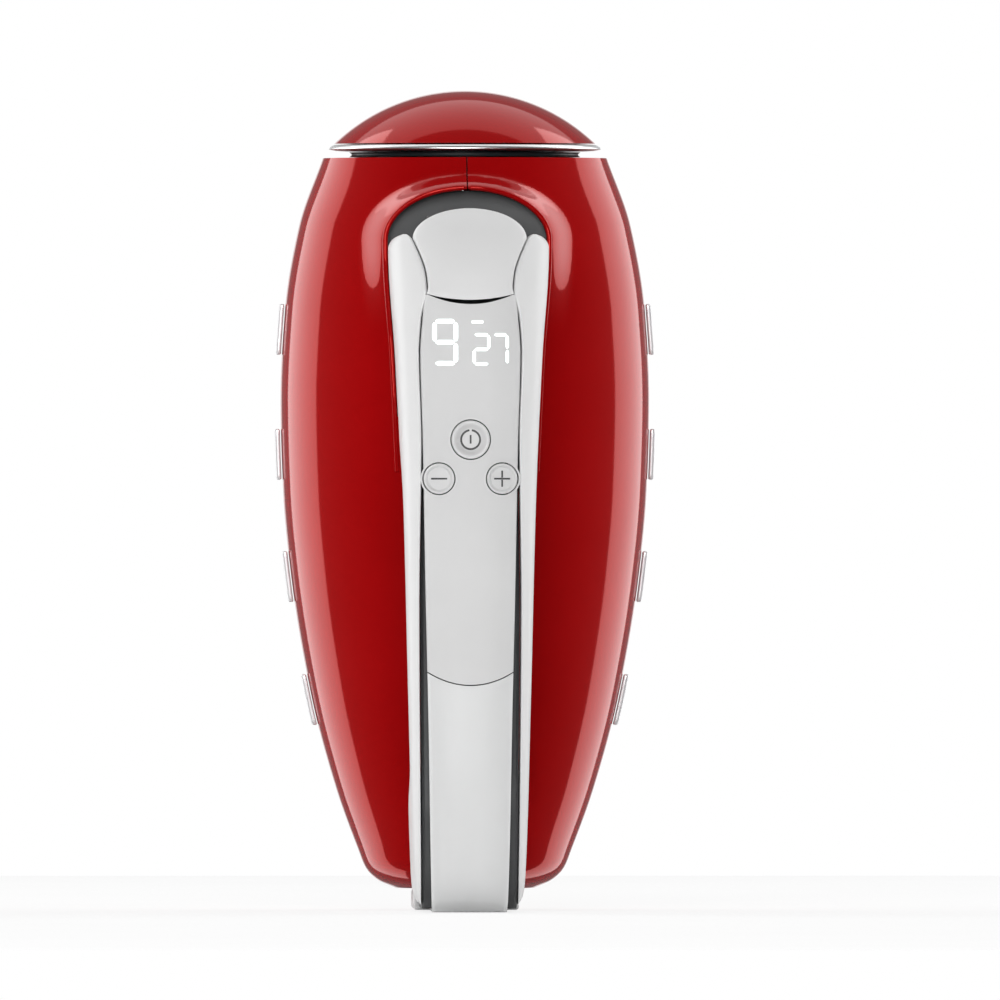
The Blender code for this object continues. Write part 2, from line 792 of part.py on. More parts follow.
def make_spine():
    silver = material("spine_silver", (0.80, 0.81, 0.81), 0.35, 0.3)
    heights = [0.0, 0.0012, 0.003, 0.008, 0.016, 0.026, 0.038, 0.050]
    heights = [station(height) for height in heights] + [PANEL_LOW - GAP]
    rings = []
    for height in heights:
        rings.append(cover_ring(height, cover_outline(height), core_crest(height) + GAP))
    spine = loft("handle_spine", rings, silver)
    plate_half = cover_outline(0.0) - 0.0002
    front = -core_crest(0.0) - 0.002
    plate = box("heel_plate", (-plate_half, front, 0), (plate_half, FOOT_BACK - 0.001, HEEL_PLATE))
    foot = box(
        "heel_foot",
        (-FOOT_HALF_WIDTH, -LEG_FLOOR + 0.0006, 0),
        (FOOT_HALF_WIDTH, FOOT_BACK, FOOT_THICKNESS),
    )
    join(spine, plate, foot)
    pocket = box(
        "pad_pocket",
        (-0.0068 - GAP, -0.074 - GAP, -0.001),
        (0.0068 + GAP, -0.030 + GAP, 0.0013 + GAP),
    )
    cut(spine, pocket)
    rubber = material("pad_rubber", (0.03, 0.03, 0.03), 0.8)
    box("heel_pad", (-0.0068, -0.074, 0), (0.0068, -0.030, 0.0013), rubber)


BUTTONS = (
    ("power_button", 0.0, POWER_HEIGHT, POWER_RADIUS),
    ("minus_button", -STEP_OFFSET, STEP_HEIGHT, STEP_RADIUS),
    ("plus_button", STEP_OFFSET, STEP_HEIGHT, STEP_RADIUS),
)
SWITCH_HALF = 0.0018
SWITCH_SHARE = 0.9


def make_panel():
    silver = material("panel_silver", (0.76, 0.77, 0.78), 0.3, 0.3)
    heights = [station(height) for height in (0.075, 0.090, 0.105, 0.120, 0.132, 0.142, 0.148)]
    rings = []
    for height in (PANEL_LOW, *heights, PANEL_HIGH):
        rings.append(cover_ring(height, cover_outline(height), CORE_TOP + GAP))
    panel = loft("control_panel", rings, silver)
    hollow = box(
        "panel_hollow",
        (-BOARD_HALF - GAP, -BUTTON_FLOOR - 0.0006, station(0.0880)),
        (BOARD_HALF + GAP, -CORE_TOP + 0.001, PANEL_HIGH - 0.0012),
    )
    cut(panel, hollow, solver="MANIFOLD")
    for name, x, height, radius in BUTTONS:
        hole_start = (x, -BUTTON_FLOOR - 0.0107, height)
        hole = cylinder(name + "_hole", radius + BUTTON_CLEARANCE, hole_start, 0.012, "Y", sides=24)
        cut(panel, hole, solver="MANIFOLD")


def make_controls():
    silver = material("button_silver", (0.74, 0.75, 0.76), 0.28, 0.5)
    black = material("switch_black", (0.03, 0.03, 0.03), 0.5)
    green = material("board_green", (0.02, 0.16, 0.07), 0.45)
    glass = material("display_black", (0.02, 0.03, 0.03), 0.15)
    board_top = BOARD_FLOOR + BOARD_THICKNESS
    box(
        "control_board",
        (-BOARD_HALF, -board_top, station(0.0895)),
        (BOARD_HALF, -BOARD_FLOOR, PANEL_HIGH - 0.0016),
        green,
    )
    box(
        "led_display",
        (-0.0090, -DISPLAY_TOP, station(0.1368)),
        (0.0090, -board_top - GAP, PANEL_HIGH - 0.0020),
        glass,
    )
    for name, x, height, radius in BUTTONS:
        top = handle_surface(x, height) + BUTTON_PROUD
        start = (x, -top, height)
        button = cylinder(name, radius, start, top - BUTTON_FLOOR, "Y", silver.copy(), sides=24)
        edge = button.modifiers.new("Round", "BEVEL")
        edge.width = 0.0004
        edge.segments = 1
        edge.limit_method = "ANGLE"
        middle = SWITCH_SHARE * x
        box(
            name.replace("button", "switch"),
            (middle - SWITCH_HALF, -SWITCH_TOP, height - SWITCH_HALF),
            (middle + SWITCH_HALF, -board_top - GAP, height + SWITCH_HALF),
            black.copy(),
        )


def eject_half(height):
    if height <= EJECT_SHOULDER:
        return rail_inner(height) - GAP
    share = (height - EJECT_SHOULDER) / (EJECT_HIGH - EJECT_SHOULDER)
    return (rail_inner(EJECT_SHOULDER) - GAP) * math.sqrt(max(1 - share**2, 0.01))


def make_eject():
    silver = material("eject_silver", (0.80, 0.81, 0.82), 0.3, 0.4)
    heights = [station(height) for height in (0.1575, 0.1600, 0.1640, 0.1680)]
    dome = EJECT_HIGH - EJECT_SHOULDER
    heights += [EJECT_SHOULDER + dome * share for share in (0, 0.3, 0.55, 0.75, 0.9, 1.0)]
    rings = []
    for height in (EJECT_LOW, *heights):
        rings.append(cover_ring(height, eject_half(height), EJECT_FLOOR))
    loft("eject_button", rings, silver)
    steel = material("rod_steel", (0.6, 0.6, 0.61), 0.3, 1.0)
    rod_start = (0, -EJECT_FLOOR + GAP, ROD_HEIGHT)
    rod_length = PLATE_BACK - GAP + EJECT_FLOOR - GAP
    cylinder("eject_rod", ROD_RADIUS, rod_start, rod_length, "Y", steel, sides=16)
    bar_half = 0.0055
    edge = GEAR_OFFSET + 0.0055
    outline = [
        (-edge, GEAR_HEIGHT - bar_half),
        (edge, GEAR_HEIGHT - bar_half),
        (edge, GEAR_HEIGHT + bar_half),
        (0.005, GEAR_HEIGHT + bar_half),
        (0.005, ROD_HEIGHT + 0.003),
        (-0.005, ROD_HEIGHT + 0.003),
        (-0.005, GEAR_HEIGHT + bar_half),
        (-edge, GEAR_HEIGHT + bar_half),
    ]
    plate = prism("ejector_plate", outline, "Y", PLATE_BACK, PLATE_BACK + PLATE_THICKNESS, steel.copy())
    for side in (-1, 1):
        start = (side * GEAR_OFFSET, PLATE_BACK - 0.001, GEAR_HEIGHT)
        cut(plate, cylinder(f"plate_hole_{side}", STEM_RADIUS + 0.0004, start, 0.004, "Y", sides=20))
    turns = 6
    steps = 8
    wire = 0.0005
    radius = ROD_RADIUS + 0.0006 + wire + 0.0003
    low = SPRING_POCKET_FLOOR + GAP + wire
    high = EJECT_FLOOR - GAP - wire
    points = []
    for k in range(turns * steps + 1):
        angle = math.tau * k / steps
        depth = low + (high - low) * k / (turns * steps)
        points.append((radius * math.cos(angle), -depth, ROD_HEIGHT + radius * math.sin(angle)))
    spring_steel = material("spring_steel", (0.5, 0.5, 0.52), 0.3, 1.0)
    tube("eject_spring", points, wire, False, spring_steel)


# Motor.


def toothed(teeth, root, tip, root_share, tip_share, turn=0.0):
    """A toothed outline as (x, y) points, with a tooth centred on the turn angle."""
    outline = []
    step = math.tau / teeth
    for k in range(teeth):
        middle = turn + k * step
        corners = ((root, -root_share), (tip, -tip_share), (tip, tip_share), (root, root_share))
        for radius, share in corners:
            angle = middle + share * step / 2
            outline.append((radius * math.cos(angle), radius * math.sin(angle)))
    return outline


def bored(target, radius, low, high, sides=20):
    cut(target, cylinder(target.name + "_bore", radius, (0, 0, low), high - low, "Z", sides=sides))


def bearing(name, height, finish):
    outer = BEARING_RADIUS
    inner = SHAFT_RADIUS + GAP
    half = BEARING_LENGTH / 2
    profile = ((inner, half), (outer, half), (outer, -half), (inner, -half))
    turned(name, profile, (0, 0, height), "Z", finish, 24)


def make_motor():
    iron = material("stator_iron", (0.30, 0.30, 0.32), 0.5, 0.8)
    copper = material("coil_copper", (0.70, 0.30, 0.12), 0.35, 0.9)
    steel = material("shaft_steel", (0.6, 0.6, 0.62), 0.25, 1.0)
    bronze = material("bearing_bronze", (0.55, 0.36, 0.14), 0.4, 1.0)
    low = ROTOR_HEIGHT - STATOR_LENGTH / 2
    high = ROTOR_HEIGHT + STATOR_LENGTH / 2
    half_x = STATOR_WIDTH / 2
    half_y = STATOR_DEPTH / 2
    stator = box("motor_stator", (-half_x, -half_y, low), (half_x, half_y, high), iron)
    bored(stator, STATOR_BORE, low - 0.001, high + 0.001, 32)
    coil_x = (STATOR_BORE + 0.0006, STATOR_BORE + 0.0043)
    coil_y = (0.0095, 0.0125)
    coil_z = (STATOR_LENGTH / 2 + GAP, STATOR_LENGTH / 2 + 0.0042)
    for side, word in ((-1, "left"), (1, "right")):
        ends = sorted((side * coil_x[0], side * coil_x[1]))
        for way in (-1, 1):
            spans = sorted((way * coil_y[0], way * coil_y[1]))
            slot = box(
                f"slot_{word}_{way}",
                (ends[0] - GAP, spans[0] - GAP, low - 0.001),
                (ends[1] + GAP, spans[1] + GAP, high + 0.001),
            )
            cut(stator, slot)
        coil = box(
            f"{word}_field_coil",
            (ends[0], -coil_y[1], ROTOR_HEIGHT - coil_z[1]),
            (ends[1], coil_y[1], ROTOR_HEIGHT + coil_z[1]),
            copper.copy(),
        )
        window = box(
            f"window_{word}",
            (ends[0] - 0.001, -coil_y[0], ROTOR_HEIGHT - coil_z[0]),
            (ends[1] + 0.001, coil_y[0], ROTOR_HEIGHT + coil_z[0]),
        )
        cut(coil, window)
    rotor_low = ROTOR_HEIGHT - ROTOR_LENGTH / 2
    rotor_high = ROTOR_HEIGHT + ROTOR_LENGTH / 2
    outline = toothed(12, ROTOR_RADIUS - 0.002, ROTOR_RADIUS, 0.55, 0.75)
    rotor = prism("motor_rotor", outline, "Z", rotor_low, rotor_high, iron.copy())
    bored(rotor, SHAFT_RADIUS + GAP, rotor_low - 0.001, rotor_high + 0.001)
    half = COMMUTATOR_LENGTH / 2
    profile = (
        (SHAFT_RADIUS + GAP, half),
        (COMMUTATOR_RADIUS, half),
        (COMMUTATOR_RADIUS, -half),
        (SHAFT_RADIUS + GAP, -half),
    )
    turned("commutator", profile, (0, 0, COMMUTATOR_HEIGHT), "Z", copper.copy(), 24)
    carbon = material("brush_carbon", (0.02, 0.02, 0.02), 0.6)
    brass = material("holder_brass", (0.60, 0.42, 0.15), 0.35, 1.0)
    for side, word in ((-1, "left"), (1, "right")):
        brush = sorted((side * (COMMUTATOR_RADIUS + GAP), side * (BRUSH_REACH - 0.004)))
        box(
            f"{word}_brush",
            (brush[0], -0.0025, COMMUTATOR_HEIGHT - 0.002),
            (brush[1], 0.0025, COMMUTATOR_HEIGHT + 0.002),
            carbon.copy(),
        )
        span = sorted((side * (COMMUTATOR_RADIUS + 0.002), side * BRUSH_REACH))
        holder = box(
            f"{word}_brush_holder",
            (span[0], -0.0038, COMMUTATOR_HEIGHT - 0.0033),
            (span[1], 0.0038, COMMUTATOR_HEIGHT + 0.0033),
            brass.copy(),
        )
        hollow = sorted((side * COMMUTATOR_RADIUS, side * (BRUSH_REACH - 0.004 + GAP)))
        channel = box(
            f"{word}_channel",
            (hollow[0], -0.0025 - GAP, COMMUTATOR_HEIGHT - 0.002 - GAP),
            (hollow[1], 0.0025 + GAP, COMMUTATOR_HEIGHT + 0.002 + GAP),
        )
        cut(holder, channel)
    make_fan()
    make_shaft(steel)
    bearing("rear_bearing", REAR_BEARING_HEIGHT, bronze)
    bearing("front_bearing", FRONT_BEARING_HEIGHT, bronze.copy())
    make_bracket()


BLADE_COUNT = 8
BLADE_START = 0.010
BLADE_THICKNESS = 0.0012


def make_fan():
    grey = material("fan_plastic", (0.55, 0.56, 0.58), 0.5)
    low = FAN_HEIGHT - FAN_LENGTH / 2
    high = FAN_HEIGHT + FAN_LENGTH / 2
    disc = 0.0015
    profile = (
        (SHAFT_RADIUS + GAP, high),
        (0.006, high),
        (0.006, low + disc),
        (FAN_RADIUS, low + disc),
        (FAN_RADIUS, low),
        (SHAFT_RADIUS + GAP, low),
    )
    fan = turned("cooling_fan", profile, (0, 0, 0), "Z", grey, 32)
    blade_span = FAN_RADIUS - BLADE_START - 0.0005
    for k in range(BLADE_COUNT):
        blade = box(
            f"blade_{k}",
            (BLADE_START, -BLADE_THICKNESS / 2, low + 0.00045),
            (BLADE_START + blade_span, BLADE_THICKNESS / 2, high - 0.00025),
        )
        blade.matrix_world = Matrix.Rotation(math.tau * k / BLADE_COUNT, 4, "Z")
        join(fan, blade)


WORM_STEPS = 12
WORM_ROOT_DROP = 0.0010
WORM_THREAD = 0.0017


def worm_radius(phase):
    """Radius of the worm at a phase in twelfths of its pitch; the thread's crest is at 6."""
    rise = {5: 0.7, 6: 1.0, 7: 0.7}.get(phase % WORM_STEPS, 0.0)
    return WORM_RADIUS - WORM_ROOT_DROP + WORM_THREAD * rise


def make_shaft(finish):
    """One shaft with the worm cut on it, in rings a twelfth of a pitch apart on the thread."""
    step = PITCH / WORM_STEPS
    half_rows = WORM_LENGTH_PITCHES * WORM_STEPS // 2
    bottom = REAR_BEARING_HEIGHT - BEARING_LENGTH / 2 - 0.001

    def ring(radius_at, height):
        points = []
        for k in range(WORM_STEPS):
            angle = math.tau * k / WORM_STEPS
            radius = radius_at(k)
            points.append((radius * math.cos(angle), radius * math.sin(angle), height))
        return points

    rings = [ring(lambda k: SHAFT_RADIUS, bottom)]
    rings.append(ring(lambda k: SHAFT_RADIUS, GEAR_HEIGHT - (half_rows + 1) * step))
    for row in range(-half_rows, half_rows + 1):
        rings.append(ring(lambda k: worm_radius(row - k + 6), GEAR_HEIGHT + row * step))
    rings.append(ring(lambda k: SHAFT_RADIUS, GEAR_HEIGHT + (half_rows + 1) * step))
    loft("drive_shaft", rings, finish)


BRACKET_HALF_Y = 0.008


def make_bracket():
    grey = material("bracket_steel", (0.45, 0.45, 0.47), 0.45, 1.0)
    low = REAR_BEARING_HEIGHT - BEARING_LENGTH / 2 - 0.003
    high = REAR_BEARING_HEIGHT + BEARING_LENGTH / 2
    reach = inner_reach(low, BRACKET_HALF_Y) - 0.0004
    bracket = box("rear_bracket", (-reach, -BRACKET_HALF_Y, low), (reach, BRACKET_HALF_Y, high), grey)
    pocket_low = REAR_BEARING_HEIGHT - BEARING_LENGTH / 2 - GAP
    pocket = cylinder("rear_pocket", BEARING_RADIUS + GAP, (0, 0, pocket_low), 0.01, "Z")
    relief = cylinder("rear_relief", SHAFT_RADIUS + 0.001, (0, 0, low - 0.001), 0.01, "Z", sides=16)
    cut(bracket, pocket, relief)


# Gears and beaters.

CASE_BACK = 0.0150
CASE_FRONT = 0.0145
CASE_WALL = 0.0030
CASE_HIGH = station(0.164)


def make_case():
    grey = material("case_nylon", (0.75, 0.74, 0.70), 0.5)
    low = FRONT_BEARING_HEIGHT - BEARING_LENGTH / 2 - 0.001
    floor = FRONT_BEARING_HEIGHT + BEARING_LENGTH / 2 + 0.0006
    outline = [
        (-CASE_FRONT, low),
        (CASE_BACK, low),
        (CASE_BACK, CASE_HIGH),
        (CASE_BACK - CASE_WALL, CASE_HIGH),
        (CASE_BACK - CASE_WALL, floor),
        (-CASE_FRONT + CASE_WALL, floor),
        (-CASE_FRONT + CASE_WALL, CASE_HIGH),
        (-CASE_FRONT, CASE_HIGH),
    ]
    case = prism("gear_case", outline, "X", -CASE_HALF, CASE_HALF, grey)
    room = body_solid("case_room", WALL + GAP, TAIL_END + WALL, BODY_FRONT - WALL)
    combine(case, room, "INTERSECT", "EXACT")
    pocket = cylinder(
        "front_pocket",
        BEARING_RADIUS + GAP,
        (0, 0, FRONT_BEARING_HEIGHT - BEARING_LENGTH / 2 - 0.002),
        0.012,
        "Z",
    )
    cut(case, pocket)
    for side in (-1, 1):
        start = (side * GEAR_OFFSET, -0.02, GEAR_HEIGHT)
        cut(case, cylinder(f"case_hole_{side}", SPINDLE_RADIUS + GAP, start, 0.04, "Y", sides=24))


SPINDLE_LOW = -0.0140
STEM_TOP = -0.0050
STEM_END = BODY_ROUNDNESS * body_outline(GEAR_HEIGHT) - 0.0010
SHANK_RADIUS = 0.0026
BEATER_END = 0.1280
CAGE_START = 0.0640


def make_gear(word, side):
    nylon = material(f"{word}_gear_nylon", (0.85, 0.83, 0.76), 0.45)
    half = GEAR_THICKNESS / 2
    turn = 0.0 if side < 0 else math.pi + math.pi / GEAR_TEETH
    outline = toothed(GEAR_TEETH, GEAR_RADIUS - 0.0013, GEAR_RADIUS + 0.0006, 0.50, 0.30, turn)
    place = side * GEAR_OFFSET
    outline = [(place + x, GEAR_HEIGHT + z) for x, z in outline]
    gear = prism(f"{word}_gear", outline, "Y", -half, half, nylon)
    start = (place, -GEAR_THICKNESS, GEAR_HEIGHT)
    cut(gear, cylinder(f"{word}_gear_bore", SPINDLE_RADIUS + GAP, start, 2 * GEAR_THICKNESS, "Y"))


def make_spindle(word, side):
    steel = material(f"{word}_spindle_steel", (0.6, 0.6, 0.62), 0.3, 1.0)
    end = PLATE_BACK - 0.0006
    floor = STEM_TOP - 0.0006
    rows = [(0, floor), (SPINDLE_BORE, floor), (SPINDLE_BORE, end), (SPINDLE_RADIUS, end)]
    rows += [(SPINDLE_RADIUS, SPINDLE_LOW), (0, SPINDLE_LOW)]
    turned(f"{word}_spindle", rows, (side * GEAR_OFFSET, 0, GEAR_HEIGHT), "Y", steel, 24)


WIRE_RADIUS = 0.0011
CAGE_TWIST = 0.07


def cage_loop():
    """One closed wire loop of the beater: out from the stem, round the widest part and back at the tip."""
    points = []
    steps = 11
    for k in range(steps + 1):
        share = k / steps
        y = CAGE_START + (BEATER_END - 0.003 - CAGE_START) * (0.5 - 0.5 * math.cos(math.pi * share))
        reach = math.sin(math.pi * share) ** 0.62
        points.append((max((BEATER_RADIUS - WIRE_RADIUS) * reach, WIRE_RADIUS), y))
    return points + [(-radius, y) for radius, y in reversed(points)]


def make_stem(word, side):
    """The part of the beater inside the housing: the driven end and the collar the plate pushes."""
    steel = material(f"{word}_stem_steel", (0.75, 0.76, 0.77), 0.18, 1.0)
    collar_low = PLATE_BACK + PLATE_THICKNESS + GAP
    collar_high = collar_low + COLLAR_LENGTH
    rows = (
        (0, STEM_END),
        (SHANK_RADIUS, STEM_END),
        (SHANK_RADIUS, collar_high),
        (0.0044, collar_high),
        (0.0044, collar_low),
        (STEM_RADIUS, collar_low),
        (STEM_RADIUS, STEM_TOP + 0.0006),
        (STEM_RADIUS - 0.0006, STEM_TOP),
        (0, STEM_TOP),
    )
    turned(f"{word}_stem", rows, (side * GEAR_OFFSET, 0, GEAR_HEIGHT), "Y", steel, 16)


def make_beater(word, side):
    """The part of the beater outside the housing: the shank and its two wire loops."""
    steel = material(f"{word}_beater_steel", (0.75, 0.76, 0.77), 0.18, 1.0)
    rows = (
        (0, BEATER_END),
        (SHANK_RADIUS - 0.0004, BEATER_END),
        (SHANK_RADIUS, BEATER_END - 0.0006),
        (SHANK_RADIUS, STEM_END + GAP),
        (0, STEM_END + GAP),
    )
    place = side * GEAR_OFFSET
    beater = turned(f"{word}_beater", rows, (place, 0, GEAR_HEIGHT), "Y", steel, 16)
    for number, turn in enumerate((0.25 * math.pi + CAGE_TWIST, 0.75 * math.pi + CAGE_TWIST)):
        points = []
        for radius, y in cage_loop():
            points.append((place + radius * math.cos(turn), y, GEAR_HEIGHT + radius * math.sin(turn)))
        join(beater, tube(f"{word}_cage_{number}", points, WIRE_RADIUS, True))


def make_inlet():
    rubber = material("inlet_rubber", (0.03, 0.03, 0.03), 0.7)
    reach = BODY_ROUNDNESS * body_outline(INLET_HEIGHT + 0.005)
    profile = (
        (INLET_BORE, reach + 0.0015),
        (INLET_RADIUS - 0.0006, reach + 0.0015),
        (INLET_RADIUS, reach + 0.0009),
        (INLET_RADIUS, reach - 0.0075),
        (INLET_BORE, reach - 0.0075),
    )
    turned("cord_inlet", profile, (0, 0, INLET_HEIGHT), "Y", rubber, 24)


def main():
    start_scene()
    make_housings()
    make_nose()
    make_bars()
    make_core()
    make_rails()
    make_spine()
    make_panel()
    make_controls()
    make_eject()
    make_motor()
    make_case()
    for side, word in ((-1, "left"), (1, "right")):
        make_gear(word, side)
        make_spindle(word, side)
        make_stem(word, side)
        make_beater(word, side)
    make_inlet()


main()
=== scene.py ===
"""Looks of a hand mixer that stands upright on its heel.

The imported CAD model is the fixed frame. +Z runs from the heel to the nose, -Y is the handle side and
+Y is the beater side. "Depth" is measured from the body's axis towards the handle, so it is -Y.
All sizes are in metres.
"""

import math

import bmesh
import bpy
import numpy as np
from mathutils import Matrix, Vector


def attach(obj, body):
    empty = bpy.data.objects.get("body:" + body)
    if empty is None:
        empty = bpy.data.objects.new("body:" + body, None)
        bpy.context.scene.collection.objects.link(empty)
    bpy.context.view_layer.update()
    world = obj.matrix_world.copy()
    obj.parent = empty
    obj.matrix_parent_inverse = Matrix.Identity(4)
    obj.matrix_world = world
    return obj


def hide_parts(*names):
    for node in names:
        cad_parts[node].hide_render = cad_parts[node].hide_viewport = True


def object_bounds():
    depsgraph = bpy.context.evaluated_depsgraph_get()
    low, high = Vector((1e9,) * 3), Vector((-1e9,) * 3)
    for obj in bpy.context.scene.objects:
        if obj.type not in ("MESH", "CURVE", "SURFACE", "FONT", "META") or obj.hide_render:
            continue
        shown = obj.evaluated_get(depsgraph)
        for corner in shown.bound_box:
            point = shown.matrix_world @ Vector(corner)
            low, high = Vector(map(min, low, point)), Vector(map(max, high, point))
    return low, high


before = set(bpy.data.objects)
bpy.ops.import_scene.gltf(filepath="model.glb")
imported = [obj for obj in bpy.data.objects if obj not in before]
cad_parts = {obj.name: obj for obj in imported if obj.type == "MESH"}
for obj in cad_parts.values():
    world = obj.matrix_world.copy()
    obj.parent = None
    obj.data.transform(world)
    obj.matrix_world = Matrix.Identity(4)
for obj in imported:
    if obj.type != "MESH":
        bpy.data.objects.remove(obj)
CAD_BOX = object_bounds()
SIDES = ((-1, "left"), (1, "right"))

# Shared sizes.
BODY_ROUNDNESS = 0.95
WALL = 0.0022
GAP = 0.0003
TAIL_END = 0.0054
BODY_FRONT = 0.1922
TOTAL_HEIGHT = CAD_BOX[1].z

# Collar that rises from the body round the front of the handle.
COLLAR_RISE = 0.0062
COLLAR_RIM = 0.0212
COLLAR_FALL = 0.0060
COLLAR_INSET_SHARE = 1.1
ARCH_HALF_WIDTH = 0.0206
ARCH_RISE = 0.0130
ARCH_SPRING = 0.171
OPENING_LOW = 0.126

# Handle.
HANDLE_UNDERSIDE = 0.074
HANDLE_TIP_START = 0.169
HANDLE_EDGE_DROP = 0.009
SHOULDER_DROP = 0.0045
CORE_TOP = 0.0895
COVER_THICKNESS = 0.0075
SEAT_CLEARANCE = 0.00035
PILLAR_FLOOR = 0.0385
LEG_FLOOR = 0.0243
PANEL_LOW = 0.0611
PANEL_HIGH = 0.1544
EJECT_LOW = 0.1550
EJECT_SHOULDER = 0.171
EJECT_HIGH = 0.1788
EJECT_FLOOR = 0.078
BUTTON_FLOOR = 0.0943
BOARD_HALF = 0.0093
COVER_BOW = 0.0033
BOW_HALF_WIDTH = 0.0108
PANEL_SMILE = 0.0024
KEY_SMILE = 0.0014

# Beaters and cord inlet.
GEAR_OFFSET = 0.021
GEAR_HEIGHT = 0.150
BEATER_RADIUS = 0.0195
INLET_HEIGHT = 0.024


def smooth(*points):
    """A smooth function through (position, value) points that never overshoots them."""
    at = np.array([point[0] for point in points])
    value = np.array([point[1] for point in points])
    slope = np.diff(value) / np.diff(at)
    before, after = slope[:-1], slope[1:]
    agree = before * after > 0
    middle = np.where(agree, 2 * before * after / np.where(agree, before + after, 1.0), 0.0)
    tangent = np.concatenate([[slope[0]], middle, [slope[-1]]])

    def read(position):
        position = min(max(position, at[0]), at[-1])
        i = min(max(int(np.searchsorted(at, position)) - 1, 0), len(at) - 2)
        span = at[i + 1] - at[i]
        t = (position - at[i]) / span
        start = (1 + 2 * t) * (1 - t) ** 2 * value[i] + t * (1 - t) ** 2 * span * tangent[i]
        end = t * t * (3 - 2 * t) * value[i + 1] + t * t * (t - 1) * span * tangent[i + 1]
        return float(start + end)

    return read


def spaced(low, high, count):
    """Evenly spaced values with both ends."""
    return [float(value) for value in np.linspace(low, high, count)]


def ramp(position, low, high):
    """0 below low, 1 above high and an eased rise between."""
    t = min(max((position - low) / (high - low), 0.0), 1.0)
    return t * t * (3 - 2 * t)


# Outlines along the height: (height, half-width) or (height, depth).
body_outline = smooth(
    (TAIL_END, 0.0178), (0.0074, 0.0223), (0.0105, 0.0254), (0.0151, 0.0273), (0.0305, 0.0329),
    (0.0535, 0.0391), (0.0843, 0.0444), (0.1073, 0.0466), (0.1304, 0.04725), (0.1534, 0.0461),
    (0.1749, 0.0425), (BODY_FRONT, 0.0364),
)
handle_outline = smooth(
    (0.0, 0.0098), (0.0013, 0.0118), (0.0044, 0.0137), (0.0090, 0.0142), (0.0535, 0.0155),
    (0.1047, 0.0168), (0.1406, 0.0184), (0.1690, 0.0202), (0.1705, 0.0196), (0.1716, 0.0185),
    (0.1722, 0.0170),
)
rail_inner = smooth(
    (0.0, 0.0123), (0.079, 0.0129), (0.120, 0.0124), (0.142, 0.0130), (0.151, 0.0124),
    (0.1575, 0.0110), (0.1616, 0.0113), (0.1700, 0.0142), (0.1716, 0.0152), (0.1722, 0.0160),
)
cover_outline = smooth(
    (0.0, 0.0095), (0.003, 0.0097), (0.053, 0.0107), (0.079, 0.0113), (0.120, 0.0121),
    (0.142, 0.0127), (0.151, 0.0121), (0.155, 0.0112),
)
handle_crest = smooth(
    (0.0, 0.0840), (0.003, 0.0890), (0.008, 0.0928), (0.016, 0.0952), (0.040, 0.0985),
    (0.090, 0.1000), (0.130, 0.0998), (0.150, 0.0980), (0.160, 0.0955), (0.168, 0.0920),
    (0.174, 0.0880), (0.1788, 0.0825),
)


# Materials.


def finish(
    name, colour, roughness, second=None, cloud=40.0, grain=1500.0, bump=0.04,
    stretch=(1, 1, 1), **sockets
):
    """A procedural finish: a soft noise shades its colour and roughness, a fine one its surface.

    Other sockets of the shader are given by name, with underscores for spaces."""
    made = bpy.data.materials.new(name)
    made.use_nodes = True
    tree = made.node_tree
    shader = tree.nodes["Principled BSDF"]
    second = second or tuple(0.88 * c for c in colour)
    place = tree.nodes.new("ShaderNodeTexCoord")
    scale = tree.nodes.new("ShaderNodeMapping")
    scale.inputs["Scale"].default_value = stretch
    tree.links.new(place.outputs["Object"], scale.inputs["Vector"])

    def noise(size, detail):
        made_noise = tree.nodes.new("ShaderNodeTexNoise")
        made_noise.inputs["Scale"].default_value = size
        made_noise.inputs["Detail"].default_value = detail
        tree.links.new(scale.outputs["Vector"], made_noise.inputs["Vector"])
        return made_noise

    clouds = noise(cloud, 3.0)
    tint = tree.nodes.new("ShaderNodeValToRGB")
    tint.color_ramp.elements[0].position = 0.35
    tint.color_ramp.elements[0].color = (*second, 1.0)
    tint.color_ramp.elements[1].position = 0.65
    tint.color_ramp.elements[1].color = (*colour, 1.0)
    tree.links.new(clouds.outputs["Fac"], tint.inputs["Fac"])
    tree.links.new(tint.outputs["Color"], shader.inputs["Base Color"])
    gloss = tree.nodes.new("ShaderNodeMapRange")
    gloss.inputs["To Min"].default_value = roughness * 0.85
    gloss.inputs["To Max"].default_value = roughness * 1.15
    grains = noise(grain, 2.0)
    tree.links.new(grains.outputs["Fac"], gloss.inputs["Value"])
    tree.links.new(gloss.outputs["Result"], shader.inputs["Roughness"])
    relief = tree.nodes.new("ShaderNodeBump")
    relief.inputs["Strength"].default_value = bump
    relief.inputs["Distance"].default_value = 0.0001
    tree.links.new(grains.outputs["Fac"], relief.inputs["Height"])
    tree.links.new(relief.outputs["Normal"], shader.inputs["Normal"])
    for socket, value in sockets.items():
        shader.inputs[socket.replace("_", " ")].default_value = value
    return made


def banded(made, direction, pitch, dark, light):
    """Adds fine parallel bands across the direction, such as stacked sheets or wound wire."""
    tree = made.node_tree
    bands = tree.nodes.new("ShaderNodeTexWave")
    bands.bands_direction = direction
    bands.inputs["Scale"].default_value = 0.314 / pitch
    bands.inputs["Distortion"].default_value = 0.4
    place = tree.nodes["Texture Coordinate"]
    tree.links.new(place.outputs["Object"], bands.inputs["Vector"])
    tint = tree.nodes.new("ShaderNodeValToRGB")
    tint.color_ramp.elements[0].color = (*dark, 1.0)
    tint.color_ramp.elements[1].color = (*light, 1.0)
    tree.links.new(bands.outputs["Fac"], tint.inputs["Fac"])
    tree.links.new(tint.outputs["Color"], tree.nodes["Principled BSDF"].inputs["Base Color"])
    tree.links.new(bands.outputs["Fac"], tree.nodes["Bump"].inputs["Height"])
    tree.nodes["Bump"].inputs["Strength"].default_value = 0.4
    return made


